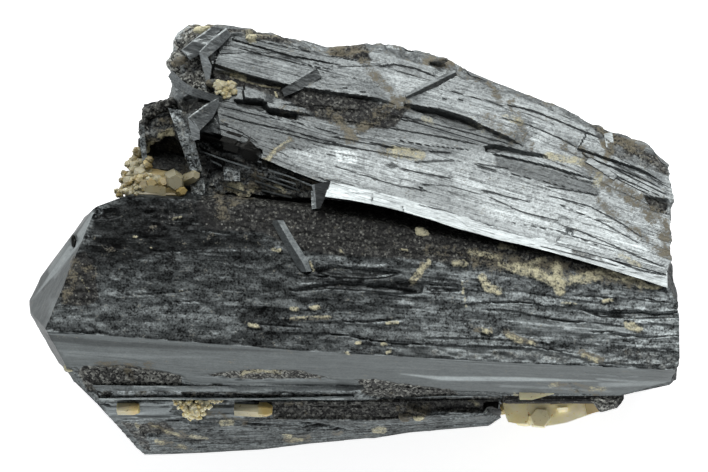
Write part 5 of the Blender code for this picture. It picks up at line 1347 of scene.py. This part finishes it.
# Small rounded crystals that make up a crust: x, y, z and the radius.
QUARTZ_LEFT_CRUST = [
    (-26, 10.5, 17, 0.55), (-26.2, 9.7, 16.6, 0.65), (-26.9, 9, 16.2, 0.55), (-26.2, 8.6, 17, 0.75),
    (-26.5, 7.7, 17.4, 0.75), (-27.1, 6.8, 18.2, 0.7), (-27.6, 6, 19.4, 0.6), (-28.1, 5.4, 20.4, 0.55),
    (-26.8, 6, 19.6, 0.75), (-25.6, 7.8, 18.6, 0.75), (-26.9, 5.4, 20.9, 0.6), (-25.9, 5.5, 21.2, 0.55),
    (-25.8, 6.3, 20.4, 0.7), (-25.2, 9.2, 16.6, 0.75), (-25, 8.4, 18, 0.75), (-25.2, 10.8, 15.8, 0.65),
    (-27, 7.4, 15.8, 0.8), (-26.2, 9, 14.6, 0.9), (-26.4, 6.4, 17, 1), (-27.2, 6, 17.6, 0.8),
    (-24.6, 7.2, 20, 0.7), (-23.6, 7, 20.2, 0.7),
]
QUARTZ_UPPER_CRUST = [
    (-15.8, 18, 21.3, 0.6), (-15, 18.2, 21.4, 0.65), (-14.5, 17.7, 21.4, 0.55), (-16.4, 18.4, 21.1, 0.4),
    (-15.3, 17.2, 21.5, 0.5),
]
# The lower quartz lies in the main crystal's shade; its lighter colour is painted light.
QUARTZ_LOWER = [
    ((22.45, -21.55, 11.8), 1.4, 3.6, (0.05, -0.06, 1), 0.8, (0, 0), (0.8, 0.8)),
    ((20.9, -20.9, 8.6), 1.45, 3.6, (-0.2, -1, 0.3), 0.65, (0.4, 0.4), (1.2, 1.2)),
    ((24.4, -20.8, 8.4), 1.35, 3.2, (0.1, -1, 0.3), 0.6, (0.3, 0.3), (1.2, 1.2)),
    ((22.2, -20.4, 6.4), 1.3, 3, (0, -0.8, -0.5), 0.55, (0.4, 0.4), (0.8, 0.8)),
    ((18.5, -20.2, 9.4), 1.1, 2.4, (-0.8, -0.6, 0.3), 0.65, (0.6, 0.6), (0.8, 0.8)),
    ((26.6, -20.2, 8.6), 1.15, 2.8, (0.5, -0.8, -0.1), 0.65, (0.5, 0.5), (0.8, 0.8)),
]
# Flat-topped blocks: the rails of the top, the depth, how light each is and how amber.
QUARTZ_BLOCKS = {
    # Most of these are made lighter with painted light, as they lie in shade.
    "quartz_lower": [
        ([([(19.9, -18.5), (21.5, -18.5), (24.1, -18.5)], (19, 18.9)),
          ([(20, -19.4), (21.5, -19.4), (24.1, -18.7)], (18.8, 18.8))], 3, 0.9, 0),
        ([([(18, -19.9), (19.5, -19.8), (21.2, -19.9)], (13.3, 13.4)),
          ([(18.7, -22.2), (19.8, -22.4), (21, -22.4)], (13, 13.1))], 6, 1.7, 0.4),
        ([([(23.3, -20.1), (26.2, -19.9), (29.2, -19.6)], (13.3, 13.4)),
          ([(23.3, -22.7), (25.7, -22.3), (28.8, -21.2)], (12.9, 13))], 5, 1.9, 0.35),
        ([([(27.9, -19.8), (29.9, -19.9)], (14.5, 14.5)), ([(28.2, -21.3), (29.8, -20.9)], (13.6, 13.6))],
         3, 0, 0.9),
        ([([(20.9, -19.9), (23.8, -19.9)], (13.4, 13.4)), ([(21, -21.2), (23.8, -21.2)], (13.2, 13.2))], 4,
         1.8, 0.4),
        ([([(24.6, -20.5), (25.9, -20.4)], (13.5, 13.5)), ([(24.8, -21), (25.8, -20.9)], (13.45, 13.45))],
         0.8, 6, -1),
    ],
    "quartz_left": [
        ([([(-26, 6), (-24.4, 6.4), (-22.5, 6.2)], (21.5, 21.9)),
          ([(-26, 4.9), (-24.4, 4.9), (-22.5, 4.9)], (21.4, 21.7))], 1.6, -0.35, 0.45),
        ([([(-23.2, 5.9), (-21.7, 6.2), (-20.7, 5.7)], (21.8, 21.8)),
          ([(-23.2, 4.7), (-21.7, 4.7), (-20.8, 4.7)], (21.4, 21.4))], 1.6, -0.45, 0.75),
        ([([(-25.6, 7), (-24.1, 7.2), (-22.7, 6.9)], (21, 21.3)),
          ([(-25.8, 5.9), (-24.1, 5.9), (-22.5, 5.8)], (21.2, 21.5))], 2.6, -0.35, 0.6),
    ],
}
QUARTZ_TIP_LEFT = [((-27.1, -20.5, 16.5), 0.95, 2.6, (1, 0, 0.16), 0.7, (0.1, 0.8), (0.1, 0.8))]
QUARTZ_TIP_RIGHT = [
    ((-12.5, -20.6, 16.2), 1, 3.6, (1, -0.05, 0.16), 0.9, (0, 0.5), (-0.2, 0.8)),
    ((-10.6, -20.65, 16.6), 0.92, 1.6, (1, -0.05, 0.12), 0.6, (0.6, 1), (0.5, 0.3)),
]
QUARTZ_CLUSTER = [
    ((-19.3, -20.5, 16.5), 0.85, 1.8, (0.1, -0.2, 1), 0.6, (0.1, 0.1), (0.5, 0.5)),
    ((-18.2, -20, 16.5), 0.65, 1.6, (0.3, 0.1, 1), 0.6, (0, 0), (0.5, 0.5)),
]
QUARTZ_CLUSTER_CRUST = [
    (-21.1, -19.6, 16.9, 0.45), (-20.6, -20, 17, 0.45), (-20.3, -20.6, 16.9, 0.4),
    (-20.1, -21.2, 16.5, 0.4), (-19.8, -19.7, 17.1, 0.5), (-19.6, -20.9, 17, 0.4),
    (-19.4, -21.5, 16.3, 0.4), (-19, -20.2, 17.1, 0.4), (-18.9, -21, 16.9, 0.45),
    (-18.7, -21.6, 16.2, 0.35), (-18.5, -19.6, 17.1, 0.45), (-18.2, -20.5, 17, 0.45),
    (-18.2, -21.1, 16.6, 0.35), (-17.7, -19.8, 17, 0.4), (-17.4, -20.3, 16.8, 0.35), (-17, -19.5, 17, 0.35),
    (-16.4, -19.6, 16.9, 0.3), (-21.5, -19.4, 16.8, 0.3), (-15.9, -19.4, 16.9, 0.25),
]
QUARTZ_UPPER = [
    ((-15.9, 18.2, 21), 0.85, 2, (-0.4, 0.1, 1), 0.6, (0.3, 0.3), (0, 0)),
    ((-14.8, 18.2, 21), 0.8, 1.9, (0.2, 0.2, 1), 0.6, (0.2, 0.2), (0, 0)),
    ((-15.4, 17.5, 21.2), 0.65, 1.7, (0, -0.3, 1), 0.6, (0.5, 0.5), (0, 0)),
]
# Each growth: its crystals, its balls of (middle, radii), the knobs of its crust, and how light they are.
QUARTZ_GROWTHS = {
    "quartz_left": (
        QUARTZ_LEFT, [((-24.2, 6.9, 16.4), (2.6, 1.4, 2.6)), ((-22.5, 6.4, 19), (2.6, 0.9, 1.2))],
        QUARTZ_LEFT_CRUST, -0.25,
    ),
    "quartz_lower": (QUARTZ_LOWER, [((23.2, -18.4, 9.2), (4, 2.6, 2.4))], [], 0),
    "quartz_tip_left": (QUARTZ_TIP_LEFT, [], [], 0),
    "quartz_tip_right": (QUARTZ_TIP_RIGHT, [], [], 0),
    "quartz_cluster_middle": (QUARTZ_CLUSTER, [], QUARTZ_CLUSTER_CRUST, 1),
    "quartz_upper": (QUARTZ_UPPER, [], QUARTZ_UPPER_CRUST, 0.1),
}


# -------- what is raised and marked on each crystal

def main_relief(made):
    """Splintered steps on the shelf, a smooth band along the ridge, recesses below it, and rough ends."""
    top = made.side["shelf"] * made.lateral
    band = made.side["ridge"] * made.lateral
    sides = made.lateral * (1 - made.side["shelf"]) * (1 - made.side["ridge"])
    calm = 1 - 0.75 * ease(made.x, -26, 6)
    splinters(made, top, rise=0.35, tilt=0.08, seed=30)
    splinters(made, band, rise=0.12, tilt=0.10, seed=60)
    splinters(made, sides, rise=0.6, tilt=0.4, seed=90)
    made.ledges(MAIN_LEDGES)
    made.height *= 1 - (0.45 + 0.42 * calm) * top
    made.hollows(MAIN_HOLLOWS + MAIN_RECESSES)
    made.cracks(MAIN_CRACKS, 0.5)
    made.areas("druse", MAIN_DRUSE)
    made.patches("rust", MAIN_RUST)
    made.patches("cream", MAIN_CREAM)
    made.mask("cream")[:] *= 0.8
    made.areas("shade", MAIN_SHADE)
    made.patches("shade", MAIN_LIGHT)
    made.mask("smooth")[:] = np.maximum(band, (1 - made.lateral) * (made.x < 0))
    made.areas("smooth", MAIN_SMOOTH)
    made.mask("calm")[:] = calm * top
    made.tone(band, [-40, 0, 40], [1.1, 1.35, 1.6])
    made.tone(top, [-33, -10, 3, 20, 30, 38], [0.36, 0.44, 0.62, 0.80, 0.98, 1.20])
    ends = 1 - made.lateral
    right = made.x > 20
    made.mask("shade")[:] -= 0.35 * ends * right
    rough = made.mask("druse")
    rough[:] = np.maximum(rough, 0.45 * ends * right)
    made.roughen(rough * made.facing, rise=0.16, length=0.6, width=0.5, seed=160)
    made.roughen(top, rise=0.06, length=1.5, width=1.0, seed=165, count=2)
    made.add(made.mask("cream") * 0.18 * (0.6 + layers(made.x / 0.5, made.y / 0.5, 170, 2)))
    made.add(ends * np.where(right, broken(made, 1.0, 120), 0.06 * layers(made.y / 2, made.z / 2, 140)))


def upper_relief(made):
    """Splintered steps and plates on the shoulder, dull hollows between, and a ragged, rusty back rim."""
    top = made.side["shoulder"] * made.lateral
    splinters(made, top, rise=0.42, tilt=0.18, seed=230)
    splinters(made, made.lateral * (1 - made.side["shoulder"]), rise=0.8, tilt=0.6, seed=260)
    made.plates(UPPER_PLATES)
    made.ledges(UPPER_LEDGES)
    made.hollows(UPPER_HOLLOWS)
    made.cracks(UPPER_CRACKS, 0.62)
    made.areas("druse", UPPER_DRUSE)
    made.patches("rust", UPPER_RUST)
    made.mask("rust")[:] *= 0.82
    made.patches("cream", UPPER_CREAM)
    made.mask("cream")[:] *= 0.8
    made.areas("shade", UPPER_SHADE)
    rim = made.side["back"] * made.lateral
    made.add(rim * 0.45 * np.minimum(layers(made.x / 2.2, made.z / 1.5, 290), 0.1))
    made.mask("druse")[:] += rim * 0.30
    made.mask("rust")[:] += rim * 0.30
    made.tone(top, [-20, -15, 0, 15, 36], [0.65, 0.62, 0.83, 1.0, 1.22])
    made.roughen(made.mask("druse"), rise=0.18, length=0.7, width=0.6, seed=270)
    made.roughen(ease(-made.x, 16.5, 19), rise=0.35, length=1.8, width=1.4, seed=275)
    made.add((1 - made.lateral) * broken(made, 0.8, 280))


def rough_relief(made):
    """Dull, knobbly all over."""
    made.mask("druse")[:] = 0.42
    made.roughen(1, rise=0.14, length=0.8, width=0.8, seed=720)


def middle_relief(made):
    """Coarse splinters, and knobs where it faces up."""
    splinters(made, made.lateral, rise=1.2, tilt=0.5, seed=330)
    made.roughen(made.facing, rise=0.35, length=1.6, width=1.1, seed=340, count=5)
    made.mask("druse")[:] = 0.55
    made.ledges(MIDDLE_LEDGES)
    made.hollows(MIDDLE_HOLLOWS)
    # Keeps the painted shade in this crystal's hollows from going fully black.
    np.minimum(made.mask("crevice"), 0.55, out=made.mask("crevice"))
    made.patches("rust", MIDDLE_RUST)
    made.patches("cream", MIDDLE_CREAM)
    made.areas("shade", MIDDLE_SHADE)
    made.add((1 - made.lateral) * broken(made, 0.8, 350))


def slab_relief(made):
    """Low splinters that fade out over 2 mm at the slab's left end, and thin cracks."""
    ends = np.clip((made.x - made.x.min()) / 2, 0, 1)
    splinters(made, 0.7 * ends, rise=0.3, tilt=0.12, seed=630)
    made.cracks(SLAB_CRACKS)
    made.areas("druse", SLAB_DRUSE)


def lower_relief(made):
    """Splinters with two plain places left among them, hollows, and grains where it is dull."""
    splinters(made, made.lateral, rise=0.5, tilt=0.4, seed=430)
    made.hollows(LOWER_HOLLOWS)
    made.ledges(LOWER_LEDGES)
    made.cracks(LOWER_CRACKS)
    made.areas("druse", LOWER_DRUSE)
    made.patches("rust", LOWER_RUST)
    made.patches("cream", LOWER_CREAM)
    made.areas("shade", LOWER_SHADE)
    for name in ("smooth", "calm"):
        made.areas(name, [(LOWER_PLAIN_LEFT, 1.0, 0.4), (LOWER_PLAIN_RIGHT, 1.0, 0.4)])
    made.mask("cream")[:] *= 0.72
    made.roughen(made.mask("druse"), rise=0.10, length=0.6, width=0.5, seed=460, count=3)
    made.add((1 - made.lateral) * broken(made, 0.5, 450))


def small_lower_relief(made):
    """Coarse splinters on a dull surface that darkens from x = 26 to 29."""
    splinters(made, made.lateral, rise=0.8, tilt=0.5, seed=530)
    made.mask("druse")[:] = 0.8
    made.mask("shade")[:] = -0.3 - 0.3 * ease(-made.x, -29, -26)
    made.areas("shade", SMALL_LOWER_SHADE)
    made.add((1 - made.lateral) * broken(made, 0.6, 550))


# -------- settings, operators and panel

def amount(name, description, default, low, high):
    """A setting that holds a number."""
    return FloatProperty(name=name, description=description, default=default, min=low, max=high)


def colour(name, description, default):
    """A setting that holds a colour."""
    return FloatVectorProperty(name=name, description=description, default=default, subtype="COLOR")


class SpecimenSettings(PropertyGroup):
    """Sizes and colours of the specimen."""

    length: FloatProperty(
        name="Length", description="Length of the whole specimen", default=CAD_BOX[1][0] - CAD_BOX[0][0],
        min=0.01, unit="LENGTH",
    )
    ilvaite_colour: colour("Ilvaite", "Colour of the dark crystals", (0.086, 0.095, 0.0955))
    # The upper crystal's colour is lighter than the other crystals' to stand for its sheen: a painted sheen.
    upper_colour_with_painted_sheen: colour("Upper crystal", "Colour of the bright crystal", (0.146, 0.158, 0.158))
    druse_colour: colour("Rough places", "Colour of the fine dull grains", (0.034, 0.0345, 0.031))
    rust_colour: colour("Rust", "Colour of the brown iron films", (0.135, 0.122, 0.088))
    cream_colour: colour("Crumbs", "Colour of the cream crumbs", (0.51, 0.48, 0.325))
    quartz_colour: colour("Quartz", "Colour of the quartz", (0.52, 0.48, 0.32))
    amber_colour: colour("Amber", "Colour of the stained quartz", (0.42, 0.315, 0.11))
    metal: amount("Metal", "How metallic the crystals look", 0.85, 0, 1)
    gloss: amount("Gloss", "Index of refraction of the crystals", 1.7, 1, 3)


def begin(context):
    """The settings, and an empty shape of the length that they ask for."""
    settings = context.scene.specimen
    return settings, Shape(settings.length * 1000 / FRAME_LENGTH)


class SPECIMEN_OT_main(Operator):
    """Builds the long main crystal"""

    bl_idname = "specimen.main"
    bl_label = "Main crystal"

    def execute(self, context):
        settings, shape = begin(context)
        spacing = {"shelf": 0.14, "ridge": 0.15, "foot": 0.15, "groove": 0.15, "rib": 0.5}
        spacing |= {"base_back": 0.7, "back_low": 0.7}
        crystal(shape, MAIN, (-44, 38.9), MAIN_TIP, spacing, 230, (76, 24), main_relief)
        slats(shape, MAIN_SLATS)
        # The ground between the ribs gets a light colour: painted light.
        slat(shape, RIB_GROUND, 1.5, [1.9], relief=rough_relief, smooth=0.0, rust=0.3)
        slats(shape, MAIN_NEEDLES, face=(MAIN, "ridge", "shelf"))
        lumps(shape, "main", 810)
        material = ilvaite_finish("main", settings, settings.ilvaite_colour)
        shape.make("main", material, "main_crystal", sharp=48.0)
        return {"FINISHED"}


class SPECIMEN_OT_upper(Operator):
    """Builds the bright upper crystal"""

    bl_idname = "specimen.upper"
    bl_label = "Upper crystal"

    def execute(self, context):
        settings, shape = begin(context)
        spacing = {"shoulder": 0.12, "front": 0.3, "back": 0.2}
        crystal(shape, UPPER, (-24, 37.9), UPPER_TIP, spacing, 280, (24, 24), upper_relief)
        # The slab's lighter colour is a painted sheen.
        slat(shape, SLAB, 1.5, [0.85], rows=260, spacing=0.1, relief=slab_relief)
        slats(shape, UPPER_SLATS)
        slats(shape, UPPER_NEEDLES, face=(UPPER, "front", "shoulder"))
        lumps(shape, "upper", 820)
        # Its lighter colour is a painted sheen.
        material = ilvaite_finish("upper", settings, settings.upper_colour_with_painted_sheen)
        shape.make("upper", material, "upper_crystal", "ilvaite_bright")
        return {"FINISHED"}


class SPECIMEN_OT_middle(Operator):
    """Builds the dark middle crystal"""

    bl_idname = "specimen.middle"
    bl_label = "Middle crystal"

    def execute(self, context):
        settings, shape = begin(context)
        spacing = {"front": 0.4, "crest": 0.16, "back": 0.3}
        crystal(shape, MIDDLE, (-27, 35), MIDDLE_TIP, spacing, 240, (20, 12), middle_relief)
        slats(shape, MIDDLE_SLATS, relief=rough_relief, smooth=0.0)
        half = 0.1  # half the width of a splinter
        for line in MIDDLE_SPLINTERS:
            back, front = [(x, y + half) for x, y in line], [(x, y - half) for x, y in line]
            rails = [(back, (0.4, 0.5, 0.4)), (front, (0.3, 0.4, 0.3))]
            slat(shape, rails, 0.9, [0.9], face=(MIDDLE, "front", "crest"))
        lumps(shape, "middle", 825, strength=0.8)
        material = ilvaite_finish("middle", settings, settings.ilvaite_colour)
        shape.make("middle", material, "middle_crystal", "ilvaite_dull")
        return {"FINISHED"}


class SPECIMEN_OT_lower(Operator):
    """Builds the two crystals along the lower edge"""

    bl_idname = "specimen.lower"
    bl_label = "Lower crystals"

    def execute(self, context):
        settings, shape = begin(context)
        spacing = {"top_back": 0.2, "top_front": 0.14, "middle": 0.14}
        crystal(shape, LOWER, (-33, 17.8), LOWER_TIP, spacing, 240, (24, 16), lower_relief)
        lumps(shape, "lower", 826, rough=0.3)
        material = ilvaite_finish("lower", settings, settings.ilvaite_colour)
        shape.make("lower", material, "lower_crystal")
        _, small = begin(context)
        spacing = {"top_back": 0.16, "top_front": 0.16, "edge": 0.2}
        crystal(small, SMALL_LOWER, (18.3, 32.6), SMALL_LOWER_TIP, spacing, 80, (8, 12), small_lower_relief)
        lumps(small, "small_lower", 840, strength=0.8, rough=0.3)
        material = ilvaite_finish("small_lower", settings, settings.ilvaite_colour)
        small.make("small_lower", material, "small_lower_crystal", "ilvaite_dull")
        return {"FINISHED"}


def crust(shape, spots, light, draw):
    """Adds knobs of (x, y, z, radius), each with six small crystals that point up and outwards."""
    for number, (x, y, z, size) in enumerate(spots):
        masks = {"rust": 0.3, "shade": light}
        lump(shape, (x, y, z), (size, size, size * 0.7), 860 + number, masks, rough=0.3, count=(8, 10))
        for _ in range(6):
            middle = (x, y, z) + (draw.normal(0, 0.5, 3) * size + (0, 0, 0.2 * size))
            masks = {"rust": (draw.uniform(0, 0.7),) * 2, "shade": (light + draw.uniform(-0.2, 0.3),) * 2}
            lean = draw.normal(0, 0.4, 2)
            radius = size * draw.uniform(0.35, 0.6)
            six_sided(shape, middle, radius, size * 1.3, (*lean, 1.0), 0.5, draw.uniform(0, 1), masks)


class SPECIMEN_OT_quartz(Operator):
    """Builds the small quartz crystals"""

    bl_idname = "specimen.quartz"
    bl_label = "Quartz"

    def execute(self, context):
        material = quartz_finish(context.scene.specimen)
        draw = np.random.default_rng(5)
        for name, (crystals, balls, knobs, light_of_knobs) in QUARTZ_GROWTHS.items():
            _, shape = begin(context)
            for middle, radius, length, direction, bluntness, amber, light in crystals:
                masks = {"rust": amber, "shade": light}
                six_sided(shape, middle, radius, length, direction, bluntness, draw.uniform(0, 1), masks)
            for rails, depth, light, amber in QUARTZ_BLOCKS.get(name, ()):
                slat(shape, rails, depth, [light], rows=24, spacing=0.3, rust=amber)
            for middle, radii in balls:
                lump(shape, middle, radii, 800, {"rust": 0.6, "druse": 0.4}, rough=0.25, count=(20, 28))
            crust(shape, knobs, light_of_knobs, draw)
            shape.make(name, material, name, "quartz")
        return {"FINISHED"}


def lamp(name, size, strength, spot):
    """A soft rectangular lamp at a spot, facing the middle of the specimen."""
    light = bpy.data.lights.new(name, "AREA")
    light.shape = "RECTANGLE"
    light.size, light.size_y = size
    light.energy = strength
    made = bpy.data.objects.new(name, light)
    made.location = spot
    made.rotation_euler = (Vector((0, 0, 0.02)) - Vector(spot)).to_track_quat("-Z", "Y").to_euler()
    bpy.context.scene.collection.objects.link(made)


def lay_floor():
    """A wide square just below the specimen that gives off some light of its own."""
    half, below = 3.0, -0.00005
    mesh = bpy.data.meshes.new("floor")
    corners = [(-half, -half, below), (half, -half, below), (half, half, below), (-half, half, below)]
    mesh.from_pydata(corners, [], [(0, 1, 2, 3)])
    floor = bpy.data.objects.new("floor", mesh)
    bpy.context.scene.collection.objects.link(floor)
    material, shader, wire, _ = finish("floor")
    plug(wire.tree, shader, {
        "Base Color": (0.9, 0.9, 0.9, 1), "Roughness": 0.9, "Specular IOR Level": 0.1,
        "Emission Color": (1, 1, 1, 1), "Emission Strength": 0.7,
    })
    mesh.materials.append(material)


def light_surroundings():
    """A world that is pale at the horizon and dark overhead."""
    world = bpy.data.worlds.new("studio")
    bpy.context.scene.world = world
    world.use_nodes = True
    tree = world.node_tree
    direction = Wire(tree).node("ShaderNodeTexCoord", output=0)
    height = direction.node("ShaderNodeSeparateXYZ", {0: direction}, output=2)
    shade = height.between(0.15, 0.85).mix(rgb((0.85, 0.87, 0.9)), rgb((0.12, 0.12, 0.125)))
    plug(tree, tree.nodes["Background"], {"Color": shade, "Strength": 1.0})


def set_camera():
    """A camera straight above that sees 84.96 mm across at 940 mm."""
    camera = bpy.data.cameras.new("camera")
    sensor = 36.0
    camera.sensor_width = sensor
    camera.lens = sensor * 940 / 84.96
    camera.clip_start, camera.clip_end = 0.05, 10
    eye = bpy.data.objects.new("camera", camera)
    eye.location = (0.00020, 0.00051, 0.96)
    bpy.context.scene.collection.objects.link(eye)
    bpy.context.scene.camera = eye


class SPECIMEN_OT_stage(Operator):
    """Makes the pale floor, the soft lamps, the surroundings and the camera"""

    bl_idname = "specimen.stage"
    bl_label = "Stage"

    def execute(self, context):
        lay_floor()
        lamp("back_softbox", (0.80, 0.52), 6.2, (0.02, 0.56, 0.50))
        lamp("front_card", (0.90, 0.30), 1.2, (0.0, -0.62, 0.16))
        light_surroundings()
        set_camera()
        context.scene.view_settings.view_transform = "Standard"
        return {"FINISHED"}


class SPECIMEN_PT_panel(Panel):
    """Lists the pieces and their settings"""

    bl_idname = "SPECIMEN_PT_panel"
    bl_label = "Ilvaite specimen"
    bl_space_type = "VIEW_3D"
    bl_region_type = "UI"
    bl_category = "Specimen"

    def draw(self, context):
        for key in SpecimenSettings.__annotations__:
            self.layout.prop(context.scene.specimen, key)
        for operator in OPERATORS:
            self.layout.operator(operator.bl_idname)


OPERATORS = (
    SPECIMEN_OT_main, SPECIMEN_OT_upper, SPECIMEN_OT_middle, SPECIMEN_OT_lower, SPECIMEN_OT_quartz,
    SPECIMEN_OT_stage,
)
CLASSES = (SpecimenSettings, *OPERATORS, SPECIMEN_PT_panel)


def register():
    for kind in CLASSES:
        bpy.utils.register_class(kind)
    bpy.types.Scene.specimen = PointerProperty(type=SpecimenSettings)


def unregister():
    del bpy.types.Scene.specimen
    for kind in reversed(CLASSES):
        bpy.utils.unregister_class(kind)


def main():
    register()
    bpy.ops.specimen.main()
    bpy.ops.specimen.upper()
    bpy.ops.specimen.middle()
    bpy.ops.specimen.lower()
    bpy.ops.specimen.quartz()
    bpy.ops.specimen.stage()


if __name__ == "__main__":
    main()
